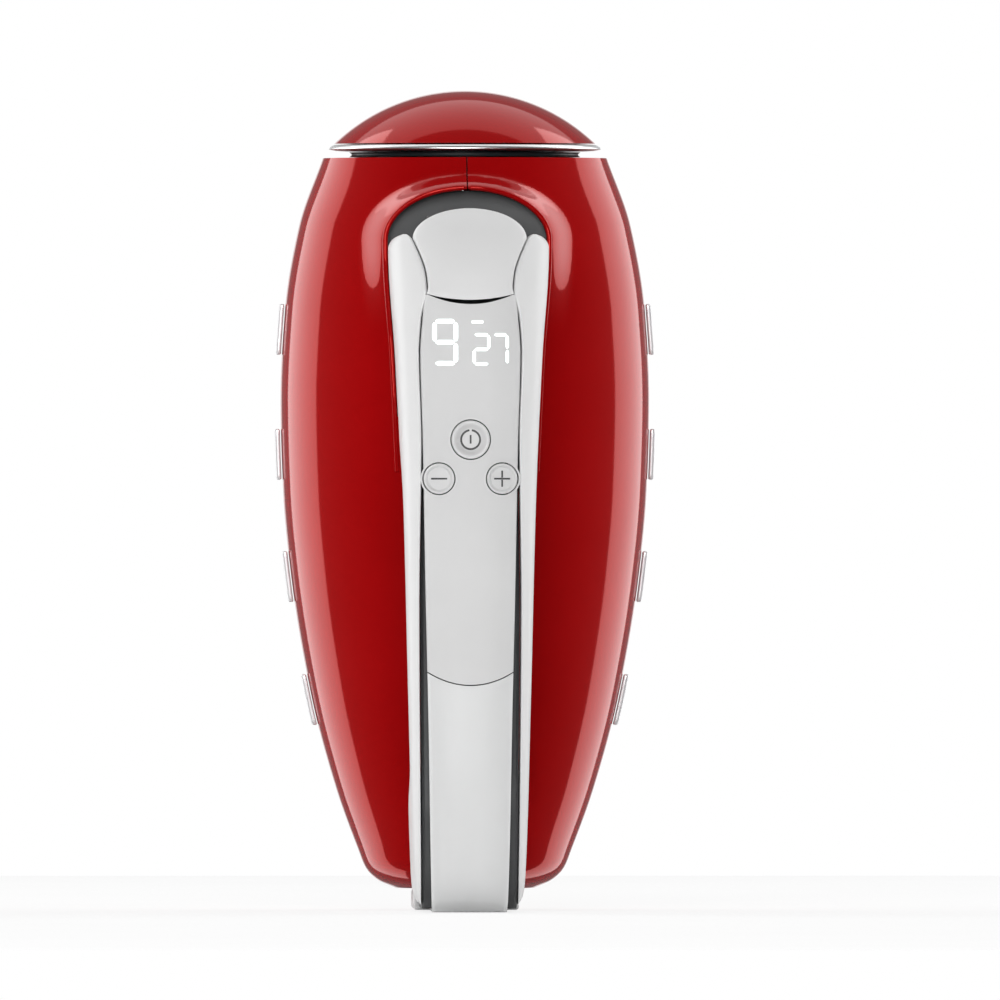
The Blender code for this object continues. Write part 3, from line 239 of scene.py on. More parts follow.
RED = (0.340, 0.0026, 0.0036)
RED_DEEP = (0.322, 0.0022, 0.0030)
RED_SHEEN = (1.0, 0.12, 0.10, 1.0)
SILVER = (0.71, 0.71, 0.71)


def enamel(name):
    return finish(
        name, RED, 0.07, RED_DEEP, cloud=30.0, grain=2500.0, bump=0.012,
        Specular_IOR_Level=1.0, Specular_Tint=RED_SHEEN,
    )


FINISHES = {
    "housing_enamel": enamel("housing_enamel"),
    "nose_enamel": enamel("nose_enamel"),
    "chrome_trim": finish(
        "chrome_trim", (0.88, 0.885, 0.89), 0.33, (0.84, 0.845, 0.85), grain=3000.0,
        bump=0.02, Metallic=1.0,
    ),
    "bar_chrome": finish(
        "bar_chrome", (0.80, 0.80, 0.81), 0.30, (0.76, 0.76, 0.77), bump=0.03,
        Metallic=0.35,
    ),
    "dark_plastic": finish(
        "dark_plastic", (0.075, 0.077, 0.079), 0.55, (0.052, 0.054, 0.056), grain=2600.0,
        bump=0.25,
    ),
    "silver_rail": finish(
        "silver_rail", SILVER, 0.42, (0.72, 0.72, 0.72), bump=0.03,
        Specular_IOR_Level=0.35,
    ),
    "silver_spine": finish(
        "silver_spine", (0.70, 0.705, 0.705), 0.45, (0.68, 0.685, 0.685), bump=0.04,
        Metallic=0.05,
    ),
    "panel_silver": finish(
        "panel_silver", (0.64, 0.64, 0.64), 0.55, (0.62, 0.62, 0.62), bump=0.04,
        Specular_IOR_Level=0.3,
    ),
    "button_silver": finish("button_silver", (0.66, 0.66, 0.66), 0.45, (0.64, 0.64, 0.64), bump=0.03),
    "board_green": finish(
        "board_green", (0.02, 0.17, 0.07), 0.42, (0.012, 0.11, 0.045), cloud=700.0,
        bump=0.15,
    ),
    "display_glass": finish("display_glass", (0.03, 0.04, 0.04), 0.15, cloud=120.0, Coat_Weight=1.0),
    "switch_black": finish("switch_black", (0.03, 0.03, 0.03), 0.5, bump=0.2),
    "steel": finish(
        "steel", (0.58, 0.58, 0.60), 0.28, (0.50, 0.50, 0.52), cloud=90.0,
        stretch=(1, 1, 14), bump=0.08, Metallic=1.0,
    ),
    "beater_steel": finish(
        "beater_steel", (0.74, 0.75, 0.76), 0.16, (0.68, 0.69, 0.70), cloud=120.0,
        stretch=(1, 9, 1), bump=0.04, Metallic=1.0,
    ),
    "stator_iron": banded(
        finish("stator_iron", (0.3, 0.3, 0.3), 0.5, Metallic=0.8),
        "Z", 0.0005, (0.16, 0.16, 0.17), (0.36, 0.36, 0.38),
    ),
    "copper": banded(
        finish("copper", (0.7, 0.3, 0.1), 0.32, Metallic=0.9),
        "Y", 0.0006, (0.42, 0.15, 0.05), (0.80, 0.38, 0.18),
    ),
    "bronze": finish(
        "bronze", (0.56, 0.37, 0.15), 0.42, (0.42, 0.27, 0.10), cloud=900.0, bump=0.2,
        Metallic=1.0,
    ),
    "carbon": finish("carbon", (0.025, 0.025, 0.025), 0.6, (0.04, 0.04, 0.04), cloud=1200.0, bump=0.3),
    "brass": finish(
        "brass", (0.62, 0.44, 0.16), 0.33, (0.52, 0.36, 0.12), cloud=200.0, bump=0.06,
        Metallic=1.0,
    ),
    "nylon": finish(
        "nylon", (0.80, 0.78, 0.71), 0.48, (0.73, 0.71, 0.63), cloud=70.0, bump=0.08,
        Subsurface_Weight=0.1,
    ),
    "fan_plastic": finish("fan_plastic", (0.50, 0.51, 0.53), 0.5, (0.44, 0.45, 0.47), bump=0.12),
    "rubber": finish("rubber", (0.03, 0.03, 0.03), 0.75, (0.02, 0.02, 0.02), grain=1800.0, bump=0.35),
}
NECK_PLASTIC = finish("neck_plastic", (0.022, 0.036, 0.040), 0.38, (0.016, 0.028, 0.032), bump=0.1)
ICON_INK = finish("icon_ink", (0.055, 0.055, 0.057), 0.5, cloud=400.0, bump=0.1)
DIGIT_LIGHT = finish(
    "digit_light", (0.93, 1.0, 0.99), 0.4,
    Emission_Color=(0.88, 1.0, 0.985, 1.0), Emission_Strength=1.0,
)

NODE_SLOTS = {
    "board_green": ("control_board",),
    "display_glass": ("led_display",),
    "switch_black": ("power_switch", "minus_switch", "plus_switch"),
    "steel": (
        "eject_rod", "ejector_plate", "eject_spring", "drive_shaft", "rear_bracket", "left_spindle",
        "right_spindle", "housing_screw_1", "housing_screw_2", "housing_screw_3",
    ),
    "stator_iron": ("motor_stator", "motor_rotor"),
    "copper": ("left_field_coil", "right_field_coil", "commutator"),
    "bronze": ("front_bearing", "rear_bearing"),
    "carbon": ("left_brush", "right_brush"),
    "brass": ("left_brush_holder", "right_brush_holder"),
    "nylon": ("gear_case", "left_gear", "right_gear"),
    "fan_plastic": ("cooling_fan",),
}


def dress_frame():
    """Gives every CAD node that stays in view its procedural finish."""
    for slot_name, nodes in NODE_SLOTS.items():
        for node in nodes:
            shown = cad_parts[node]
            shown.data.materials.clear()
            shown.data.materials.append(FINISHES[slot_name])


# Mesh helpers.


def close_mesh(shape, name, crease=32.0):
    """Turns a bmesh into a smooth-shaded mesh that keeps its edges over the crease angle."""
    bmesh.ops.recalc_face_normals(shape, faces=shape.faces)
    mesh = bpy.data.meshes.new(name)
    shape.to_mesh(mesh)
    shape.free()
    mesh.shade_smooth()
    mesh.set_sharp_from_angle(angle=math.radians(crease))
    return mesh


def piece(name, mesh, slot_name, body="frame", replaced=(), material=None):
    made = bpy.data.objects.new(name, mesh)
    bpy.context.scene.collection.objects.link(made)
    mesh.materials.clear()
    mesh.materials.append(material or FINISHES[slot_name])
    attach(made, body)
    if replaced:
        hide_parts(*replaced)
    return made


def carved(mesh, name, *steps, crease=32.0):
    """The mesh after its (operation, other mesh) steps."""
    work = bpy.data.objects.new(name + "_work", mesh)
    helpers = [work]
    for operation, other in steps:
        helper = bpy.data.objects.new(name + "_helper", other)
        helpers.append(helper)
        modifier = work.modifiers.new(operation, "BOOLEAN")
        modifier.operation = operation
        modifier.object = helper
        modifier.solver = "MANIFOLD"
    for helper in helpers:
        bpy.context.scene.collection.objects.link(helper)
    graph = bpy.context.evaluated_depsgraph_get()
    result = bpy.data.meshes.new_from_object(work.evaluated_get(graph))
    for helper in helpers:
        bpy.data.objects.remove(helper)
    result.shade_smooth()
    result.set_sharp_from_angle(angle=math.radians(crease))
    return result


def bridge(shape, rows, cyclic=False, caps=False):
    """Joins rows of the same number of points by bands of faces, after any flat caps."""
    pairs = list(zip(rows, rows[1:]))
    if cyclic:
        pairs.append((rows[-1], rows[0]))
    elif caps:
        shape.faces.new(rows[0])
        shape.faces.new(rows[-1])
    count = len(rows[0])
    for low, high in pairs:
        for k in range(count):
            after = (k + 1) % count
            shape.faces.new((low[k], low[after], high[after], high[k]))


def loft(name, rings, crease=32.0, strip=False):
    """A closed solid through rings of the same number of points, capped at both ends.

    With strip, the caps join each point to the one that mirrors it across the ring."""
    shape = bmesh.new()
    rows = [[shape.verts.new(point) for point in ring] for ring in rings]
    bridge(shape, rows)
    count = len(rows[0])
    for row in (rows[0], rows[-1]):
        if strip:
            for k in range(count // 2 - 1):
                shape.faces.new((row[k], row[k + 1], row[count - 2 - k], row[count - 1 - k]))
        else:
            shape.faces.new(row)
    return close_mesh(shape, name, crease)


def lathe(name, profile, centre=(0, 0, 0), axis="Z", sides=96, flatten=1.0, crease=32.0):
    """A profile of (radius, height) turned about an axis through centre. A row of radius 0 is one point."""
    shape = bmesh.new()
    centre = Vector(centre)

    def point(radius, height, angle):
        a, b = radius * math.cos(angle), radius * math.sin(angle)
        if axis == "Z":
            return centre + Vector((a, b * flatten, height))
        if axis == "Y":
            return centre + Vector((a, height, b))
        return centre + Vector((height, a, b))

    rows = []
    for radius, height in profile:
        count = sides if radius > 0 else 1
        rows.append([shape.verts.new(point(radius, height, math.tau * k / sides)) for k in range(count)])
    pairs = list(zip(rows, rows[1:]))
    if profile[0][0] > 0:
        pairs.append((rows[-1], rows[0]))
    for low, high in pairs:
        for k in range(sides):
            after = (k + 1) % sides
            corners = [low[k % len(low)], low[after % len(low)]]
            corners += [high[after % len(high)], high[k % len(high)]]
            unique = list(dict.fromkeys(corners))
            if len(unique) > 2:
                shape.faces.new(unique)
    return close_mesh(shape, name, crease)


def round_edges(shape, radius, segments=3):
    bmesh.ops.bevel(
        shape, geom=shape.edges, offset=radius, segments=segments, affect="EDGES", profile=0.5
    )


def block(name, low, high, radius=0.0, segments=3):
    """A block between two corners, with its edges rounded."""
    shape = bmesh.new()
    bmesh.ops.create_cube(shape, size=1.0)
    low, high = Vector(low), Vector(high)
    bmesh.ops.scale(shape, vec=high - low, verts=shape.verts)
    bmesh.ops.translate(shape, vec=(low + high) / 2, verts=shape.verts)
    if radius:
        round_edges(shape, radius, segments)
    return close_mesh(shape, name)


def rod(radius, low, high):
    """The profile of a solid rod, for lathe."""
    return ((0, low), (radius, low), (radius, high), (0, high))


def prism(name, outline, low, high):
    """An outline of (x, z) points extruded along Y."""
    return loft(name, [[(x, y, z) for x, z in outline] for y in (low, high)])


def sweep(name, path, section, across_of, cyclic=False):
    """A section of (sideways, outwards) points carried along a path, with across_of giving both ways."""
    shape = bmesh.new()
    rows = []
    for index, point in enumerate(path):
        sideways, outwards = across_of(index)
        rows.append([shape.verts.new(Vector(point) + a * sideways + b * outwards) for a, b in section])
    bridge(shape, rows, cyclic, caps=True)
    return close_mesh(shape, name, 40.0)


def round_section(radius, sides=10):
    angles = [math.tau * k / sides for k in range(sides)]
    return [(radius * math.cos(angle), radius * math.sin(angle)) for angle in angles]


def joined(name, meshes, crease=32.0):
    """One mesh of several that don't touch."""
    shape = bmesh.new()
    for mesh in meshes:
        shape.from_mesh(mesh)
    return close_mesh(shape, name, crease)


# Body.


def opening_half(height):
    """Half-width of the collar's opening below the spring of its arch."""
    return min(handle_outline(min(height, HANDLE_TIP_START)) + 0.0004, ARCH_HALF_WIDTH)


def opening_distance(x, height):
    if height <= ARCH_SPRING:
        return abs(x) * ARCH_HALF_WIDTH / opening_half(height)
    return math.hypot(x, (height - ARCH_SPRING) * ARCH_HALF_WIDTH / ARCH_RISE)


def collar_rise(x, height, inset=0.0):
    away = opening_distance(x, height) + COLLAR_INSET_SHARE * inset - COLLAR_RIM
    t = min(max(away / COLLAR_FALL, 0.0), 1.0)
    return COLLAR_RISE * ramp(height, 0.145, 0.170) * (1 - 0.5 * t - 0.5 * ramp(t, 0.0, 1.0))


def body_depth(x, height):
    """Depth of the body's surface on the handle side."""
    half = body_outline(height)
    return BODY_ROUNDNESS * math.sqrt(max(half * half - x * x, 0.0)) + collar_rise(x, height)


def body_ring(height, inset):
    half_width = body_outline(height) - inset
    half_depth = BODY_ROUNDNESS * body_outline(height) - inset
    front = [*range(0, 14, 3), *range(14, 56), *range(57, 90, 3)]
    degrees = [*front, *range(90, 271, 4), *[360 - angle for angle in reversed(front[1:])]]
    ring = []
    for degree in degrees:
        angle = math.radians(degree)
        x = half_width * math.sin(angle)
        depth = half_depth * math.cos(angle)
        if depth > 0:
            depth += collar_rise(x, height, inset)
        ring.append((x, -depth, height))
    return ring


def body_heights(low, high):
    """Heights between two ends, closer together round the tail and the collar."""
    tail = [TAIL_END + 0.0101 * (k / 12) ** 1.6 for k in range(13)]
    heights = [*tail, *spaced(0.0180, 0.1230, 34), *spaced(0.1245, 0.1917, 96)]
    return [low, *[z for z in heights if low + 1e-4 < z < high - 1e-4], high]


def body_solid(name, inset, low, high):
    return loft(name, [body_ring(height, inset) for height in body_heights(low, high)])


def inner_reach(height, y):
    half_width = body_outline(height) - WALL
    half_depth = BODY_ROUNDNESS * body_outline(height) - WALL
    return half_width * math.sqrt(max(1 - (y / half_depth) ** 2, 0.0))


def opening_outline(inset, steps=48):
    heights = [OPENING_LOW + inset, *spaced(0.130, ARCH_SPRING, 14)]
    right = [(opening_half(height) - inset, height) for height in heights]
    arch = []
    for k in range(1, steps):
        angle = math.pi * k / steps
        x = (ARCH_HALF_WIDTH - inset) * math.cos(angle)
        arch.append((x, ARCH_SPRING + (ARCH_RISE - inset) * math.sin(angle)))
    return right + arch + [(-x, height) for x, height in reversed(right)]


NECK_HOLE = 0.0270
SCREW_PLACES = ((0.026, 0.1005), (0.019, 0.0364), (0.013, 0.1790))
SCREW_TIP = 0.011
SCREW_HEAD_AT = -0.009
SCREW_HOLE_RADIUS = 0.0018
SCREW_SINK_RADIUS = 0.0032
BOSS_RADIUS = 0.0042
SOCKET_RADIUS = 0.0060
INLET_HOLE_RADIUS = 0.0057
VENT_COUNT = 5
VENT_LOW = 0.040
VENT_PITCH = 0.0045
VENT_OFFSET = 0.0115
VENT_HALF_LENGTH = 0.008
VENT_HALF_HEIGHT = 0.0009


def body_cuts():
    """What is cut from the body's shell after it is hollow."""
    cuts = [prism("collar_opening", opening_outline(0.0), -0.10, -0.030)]
    cuts.append(lathe("neck_hole", rod(NECK_HOLE, -0.006, 0.004), (0, 0, BODY_FRONT)))
    for side, _ in SIDES:
        place = (side * GEAR_OFFSET, 0, GEAR_HEIGHT)
        cuts.append(lathe("socket", rod(SOCKET_RADIUS, 0.028, 0.048), place, "Y", 48))
    hole = rod(INLET_HOLE_RADIUS, 0.018, 0.038)
    cuts.append(lathe("inlet_hole", hole, (0, 0, INLET_HEIGHT), "Y", 48))
    for k in range(VENT_COUNT):
        height = VENT_LOW + VENT_PITCH * k
        for side, _ in SIDES:
            low = (side * VENT_OFFSET - VENT_HALF_LENGTH, 0.024, height - VENT_HALF_HEIGHT)
            high = (side * VENT_OFFSET + VENT_HALF_LENGTH, 0.060, height + VENT_HALF_HEIGHT)
            cuts.append(block("vent", low, high, 0.0006, 2))
    for y, height in SCREW_PLACES:
        for radius, end in ((SCREW_HOLE_RADIUS, SCREW_TIP), (SCREW_SINK_RADIUS, SCREW_HEAD_AT)):
            cuts.append(lathe("bore", rod(radius, -0.05, end + GAP), (0, y, height), "X", 32))
    return cuts


def make_body():
    """Both halves of the shell, with the collar, the openings and the screw bosses."""
    for side, word in SIDES:
        steps = [("DIFFERENCE", body_solid("hollow", WALL, TAIL_END + WALL, BODY_FRONT - WALL))]
        for y, height in SCREW_PLACES:
            reach = inner_reach(height, abs(y) + BOSS_RADIUS) + 0.3 * WALL
            boss = lathe("boss", rod(BOSS_RADIUS, -reach, reach), (0, y, height), "X", 32)
            steps.append(("UNION", boss))
        steps += [("DIFFERENCE", cut) for cut in body_cuts()]
        low, high = (-0.1, GAP / 2) if side > 0 else (-GAP / 2, 0.1)
        steps.append(("DIFFERENCE", block("other_half", (low, -0.1, -0.01), (high, 0.1, 0.22))))
        shell = carved(body_solid("shell", 0.0, TAIL_END, BODY_FRONT), word, *steps, crease=38.0)
        piece(f"{word}_shell", shell, "housing_enamel", replaced=(f"{word}_housing",))


LIP_RADIUS = 0.0007
LIP_LOW = 0.112
LIP_SINK = 0.0003


def make_lip():
    """The thin rounded lip along each half of the collar's opening."""
    for side, word in SIDES:
        path = []
        for height in spaced(LIP_LOW, ARCH_SPRING, 40):
            path.append((opening_half(height) + 0.5 * LIP_RADIUS, height))
        for k in range(1, 25):
            angle = 0.5 * math.pi * k / 24.6
            x = (ARCH_HALF_WIDTH + 0.5 * LIP_RADIUS) * math.cos(angle)
            path.append((x, ARCH_SPRING + (ARCH_RISE + 0.5 * LIP_RADIUS) * math.sin(angle)))
        points = [(side * x, LIP_SINK - body_depth(x, z), z) for x, z in path]

        def ways(index):
            a = Vector(points[max(index - 1, 0)])
            b = Vector(points[min(index + 1, len(points) - 1)])
            sideways = (b - a).normalized().cross(Vector((0, 1, 0))).normalized()
            return sideways, sideways.cross((b - a).normalized())

        lip = sweep(f"{word}_lip", points, round_section(LIP_RADIUS), ways)
        piece(f"{word}_collar_lip", lip, "housing_enamel")


# Nose.

RING_RADIUS = 0.0348
NOSE_RADIUS = 0.0335
RING_LOW = BODY_FRONT + 0.0018
RING_HIGH = RING_LOW + 0.0016
NOSE_LOW = RING_HIGH + 0.0003
STUB_RADIUS = 0.0230
NECK_RADIUS = 0.0296


def make_nose():
    neck = [(0, RING_HIGH), (STUB_RADIUS, RING_HIGH), (STUB_RADIUS, RING_LOW - GAP)]
    for k in range(7):
        share = k / 6
        pinch = 0.0006 * math.sin(math.pi * share)
        neck.append((NECK_RADIUS - pinch, RING_LOW - GAP + share * (BODY_FRONT + 2 * GAP - RING_LOW)))
    inner = NECK_HOLE - 0.004
    neck += [(inner, BODY_FRONT + GAP), (inner, BODY_FRONT - 0.005), (0, BODY_FRONT - 0.005)]
    mesh = lathe("neck", neck, flatten=BODY_ROUNDNESS, crease=45.0)
    piece("neck_ring", mesh, "dark_plastic", replaced=("nose_neck",), material=NECK_PLASTIC)
    ring = [(STUB_RADIUS + GAP, RING_HIGH), (NOSE_RADIUS - 0.0006, RING_HIGH)]
    for k in range(9):
        share = k / 8
        rim = RING_RADIUS - (RING_RADIUS - NOSE_RADIUS) * (1 - share) ** 2
        ring.append((rim, RING_HIGH - 0.0011 * share))
    ring += [(RING_RADIUS - 0.0001, RING_LOW + 0.0004), (RING_RADIUS - 0.0018, RING_LOW + 0.0001)]
    ring.append((RING_RADIUS - 0.0036, RING_LOW))
    ring.append((STUB_RADIUS + GAP, RING_LOW))
    mesh = lathe("ring", ring, flatten=BODY_ROUNDNESS, sides=144)
    piece("chrome_band", mesh, "chrome_trim", replaced=("chrome_ring",))
    height = TOTAL_HEIGHT - NOSE_LOW
    arc_radius = (NOSE_RADIUS**2 + height**2) / (2 * height)
    half_angle = math.asin(NOSE_RADIUS / arc_radius)
    dome = []
    for k in range(41):
        angle = half_angle * k / 40
        dome.append((arc_radius * math.sin(angle), TOTAL_HEIGHT - arc_radius * (1 - math.cos(angle))))
    dome += [(NOSE_RADIUS - 1.6 * WALL, NOSE_LOW)]
    dome += [(0.60 * (NOSE_RADIUS - WALL), NOSE_LOW + 0.60 * (height - WALL)), (0, TOTAL_HEIGHT - WALL)]
    mesh = lathe("dome", dome, flatten=BODY_ROUNDNESS, sides=144)
    piece("nose_dome", mesh, "nose_enamel", replaced=("nose_cap",))


# Raised bars on the sides.

BAR_HEIGHTS = (0.1484, 0.1164, 0.0851, 0.0536)
BAR_LENGTH = 0.0130
BAR_DEPTH = 0.0052
BAR_THICKNESS = 0.0013
BAR_EDGE_RADIUS = 0.00045


def make_bars():
    """Bars that follow the side of the body, with rounded edges."""
    for side, word in SIDES:
        for number, height in enumerate(BAR_HEIGHTS, 1):
            shape = bmesh.new()
            bmesh.ops.create_cube(shape, size=1.0)
            size = (BAR_THICKNESS, BAR_DEPTH, BAR_LENGTH)
            bmesh.ops.scale(shape, vec=size, verts=shape.verts)
            round_edges(shape, BAR_EDGE_RADIUS)
            for k in range(1, 10):
                cut_at = BAR_LENGTH * (k / 10 - 0.5)
                geom = [*shape.verts, *shape.edges, *shape.faces]
                bmesh.ops.bisect_plane(shape, geom=geom, plane_co=(0, 0, cut_at), plane_no=(0, 0, 1))
            for vert in shape.verts:
                along = height + vert.co.z
                half = body_outline(along)
                curve = half * math.sqrt(1 - (vert.co.y / (BODY_ROUNDNESS * half)) ** 2)
                stand = GAP + BAR_THICKNESS / 2 + vert.co.x
                vert.co = Vector((side * (curve + stand), vert.co.y, along))
            name = f"{word}_bar_{number}"
            mesh = close_mesh(shape, name)
            piece(f"{word}_trim_{number}", mesh, "chrome_trim", "frame", (name,), FINISHES["bar_chrome"])


# Handle.


def saddle(height):
    return BODY_ROUNDNESS * body_outline(height) + collar_rise(0.0, height)


def handle_surface(x, height):
    share = abs(x) / max(handle_outline(min(height, HANDLE_TIP_START)), 0.0142)
    return handle_crest(height) - HANDLE_EDGE_DROP * share**3


def underside(height):
    leg = ramp(height, 0.025, 0.037)
    pillar = ramp(height, 0.103, 0.1265)
    low = LEG_FLOOR + (HANDLE_UNDERSIDE - LEG_FLOOR) * leg - (HANDLE_UNDERSIDE - PILLAR_FLOOR) * pillar
    if 0.060 < height < OPENING_LOW + 0.0005:
        return max(low, saddle(height) + 0.0006)
    return low


def core_crest(height):
    return min(CORE_TOP, handle_crest(height) - COVER_THICKNESS)


def body_clearance():
    """The body's lower part with a little room round it, to cut the handle's seat."""
    return body_solid("clearance", -SEAT_CLEARANCE, TAIL_END - GAP, 0.0620)


def rail_ring(height, side):
    """A rail's section: flat inner side, rounded crown and a wide rounded shoulder outside."""
    inner, outer = rail_inner(height), handle_outline(height)
    width = outer - inner
    low = underside(height)
    round_x = 0.42 * width
    ring = [(inner, low), (outer - 0.30 * width, low)]
    for k in range(1, 5):
        angle = 0.5 * math.pi * k / 4
        ring.append((outer - 0.30 * width * (1 - math.sin(angle)), low + 0.002 * (1 - math.cos(angle))))
    for k in range(9):
        angle = 0.5 * math.pi * k / 8
        x = outer - round_x * (1 - math.cos(angle))
        ring.append((x, handle_surface(x, height) - SHOULDER_DROP * (1 - math.sin(angle))))
    for share in (0.50, 0.42, 0.33, 0.24, 0.16, 0.09, 0.04):
        x = inner + share * width
        ring.append((x, handle_surface(x, height) - 0.0006 * max(0.0, 1 - share / 0.12) ** 2))
    ring.append((inner, handle_surface(inner, height) - 0.0010))
    return [(side * x, -depth, height) for x, depth in ring]


PLUG_FLOOR = 0.030
PLATE_HALF = 0.0093
EJECT_SEAT = EJECT_FLOOR - 0.0065
ROD_HEIGHT = 0.168


def make_core():
    """The dark inner frame of the handle, which shows beside the rails and round the eject button."""
    heights = [0.0009, 0.0016, 0.0024, 0.0036, 0.0050, 0.0070, 0.0100]
    heights += [*spaced(0.0130, 0.1264, 70), 0.1268, 0.1272, *spaced(0.1290, 0.1515, 14)]
    rings = []
    for height in heights:
        low = PLUG_FLOOR + 0.002 if height > 0.1270 else underside(height) + 0.0006
        half = rail_inner(height) - GAP
        high = core_crest(height)
        ring = [(-half, low), (half, low), (half, high - 0.0008), (half - 0.0008, high)]
        ring += [(0.0008 - half, high), (-half, high - 0.0008)]
        rings.append([(x, -depth, height) for x, depth in ring])
    plug = prism("plug", opening_outline(0.0004), 0.0005 - PILLAR_FLOOR, -PLUG_FLOOR)
    neck = block("neck", (-0.0104, -EJECT_SEAT, 0.150), (0.0104, -PLUG_FLOOR - 0.001, 0.177))
    channel_half = PLATE_HALF + GAP
    channel = block("channel", (-channel_half, -0.1, -0.001), (channel_half, 0, 0.0028))
    steps = [("UNION", plug), ("UNION", neck), ("DIFFERENCE", body_clearance()), ("DIFFERENCE", channel)]
    for row in (rod(0.0047, -EJECT_SEAT - 0.001, -0.058), rod(0.0026, -0.08, -0.03)):
        steps.append(("DIFFERENCE", lathe("bore", row, (0, 0, ROD_HEIGHT), "Y", 40)))
    mesh = carved(loft("core", rings), "core", *steps)
    piece("grip_core", mesh, "dark_plastic", replaced=("handle_core",))


def make_rails():
    low = [0.0020, 0.0024, 0.0030, 0.0040, 0.0056, 0.0075, 0.0100]
    grip = [*spaced(0.0130, 0.1220, 56), *spaced(0.1232, HANDLE_TIP_START, 48)]
    tip = [0.1696, 0.1701, 0.1706, 0.1710, 0.1714, 0.1717, 0.17195, 0.1722]
    for side, word in SIDES:
        rings = [rail_ring(height, side) for height in (*low, *grip, *tip)]
        rail = carved(loft(f"{word}_rail", rings), word, ("DIFFERENCE", body_clearance()), crease=40.0)
        piece(f"{word}_grip_rail", rail, "silver_rail", replaced=(f"handle_{word}_rail",))


def cover_ring(height, half, low, corner=0.0006, steps=28):
    """A cover's section: flat below, with the handle's crown above and rounded long edges."""
    ring = [(-half * math.cos(math.pi * k / steps), -low, height) for k in range(steps + 1)]
    for k in range(steps + 1):
        x = half * math.cos(math.pi * k / steps)
        drop = corner * max(0.0, 1 - (half - abs(x)) / (1.4 * corner)) ** 2
        ring.append((x, -(handle_surface(x, height) - drop), height))
    return ring


def bow_ends(mesh):
    """Bends the joint between spine and panel, and the panel's far end, into arcs."""
    for vert in mesh.vertices:
        across = min((vert.co.x / BOW_HALF_WIDTH) ** 2, 1.0)
        near_joint = ramp(vert.co.z, 0.040, 0.0605) * (1 - ramp(vert.co.z, 0.0615, 0.082))
        near_slit = ramp(vert.co.z, 0.1500, 0.1544)
        vert.co.z += COVER_BOW * (across - 1) * near_joint
        vert.co.z += PANEL_SMILE * across * near_slit


PAD_HALF_WIDTH = 0.0068
PAD_FRONT = 0.074
PAD_BACK = 0.030


def make_spine():
    heights = [0.0, 0.0004, 0.0012, 0.0020, 0.0030, 0.0045, 0.0062, 0.0080, 0.0105, 0.0130]
    heights += spaced(0.016, PANEL_LOW - GAP, 28)
    rings = []
    for height in heights:
        rings.append(cover_ring(height, cover_outline(height), core_crest(height) + GAP))
    spine = loft("spine", rings, strip=True)
    bow_ends(spine)
    plate = block("plate", (-PLATE_HALF, -core_crest(0.0) - 0.002, 0), (PLATE_HALF, 0.021, 0.0025))
    foot = block("foot", (-0.0135, -LEG_FLOOR + 0.0006, 0), (0.0135, 0.022, 0.0050), 0.0008)
    wide = PAD_HALF_WIDTH + GAP
    pocket = block("pocket", (-wide, -PAD_FRONT - GAP, -0.001), (wide, GAP - PAD_BACK, 0.0016))
    steps = (("UNION", plate), ("UNION", foot), ("DIFFERENCE", pocket))
    mesh = carved(spine, "spine", *steps, crease=40.0)
    piece("spine_cover", mesh, "silver_spine", replaced=("handle_spine",))
    low, high = (-PAD_HALF_WIDTH, -PAD_FRONT, 0), (PAD_HALF_WIDTH, -PAD_BACK, 0.0013)
    pad = block("pad", low, high, 0.0003)
    grooves = []
    for k in range(13):
        y = -0.0720 + 0.0033 * k
        grooves.append(("DIFFERENCE", block("groove", (-0.01, y, -0.001), (0.01, y + 0.0011, 0.0004))))
    piece("ribbed_pad", carved(pad, "pad", *grooves), "rubber", replaced=("heel_pad",))


POWER_RADIUS = 0.0049
STEP_RADIUS = 0.0039
BUTTON_CLEARANCE = 0.00025
BUTTONS = (
    ("power", 0.0, 0.1200, POWER_RADIUS),
    ("minus", -0.0080, 0.1101, STEP_RADIUS),
    ("plus", 0.0080, 0.1101, STEP_RADIUS),
)


def make_panel():
    heights = [PANEL_LOW, *spaced(0.0625, 0.1538, 60), PANEL_HIGH]
    rings = [cover_ring(z, cover_outline(z), CORE_TOP + GAP) for z in heights]
    low = (-BOARD_HALF - GAP, -BUTTON_FLOOR - 0.0006, 0.0880)
    high = (BOARD_HALF + GAP, -CORE_TOP + 0.001, PANEL_HIGH - 0.0012)
    steps = [("DIFFERENCE", block("hollow", low, high))]
    for _, x, height, radius in BUTTONS:
        hole = rod(radius + BUTTON_CLEARANCE, -0.105, -0.093)
        steps.append(("DIFFERENCE", lathe("hole", hole, (x, 0, height), "Y", 64)))
    panel = loft("panel", rings, strip=True)
    bow_ends(panel)
    mesh = carved(panel, "panel", *steps)
    piece("panel_cover", mesh, "panel_silver", replaced=("control_panel",))


def on_handle(x, height, rise):
    return (x, -(handle_surface(x, height) + rise), height)


def key_top(name, x, height, profile, floor, sides=64):
    """A round key whose top follows the handle. Profile rows are (radius, rise over the handle)."""
    shape = bmesh.new()
    rows = []
    for radius, rise in profile:
        row = []
        for k in range(sides):
            angle = math.tau * k / sides
            place = (x + radius * math.cos(angle), height + radius * math.sin(angle))
            row.append(shape.verts.new(on_handle(*place, rise)))
        rows.append(row)
    under = [shape.verts.new((vert.co.x, -floor, vert.co.z)) for vert in rows[0]]
    bridge(shape, [under, *rows])
    shape.faces.new(rows[-1])
    shape.faces.new(under)
    return close_mesh(shape, name, 50.0)


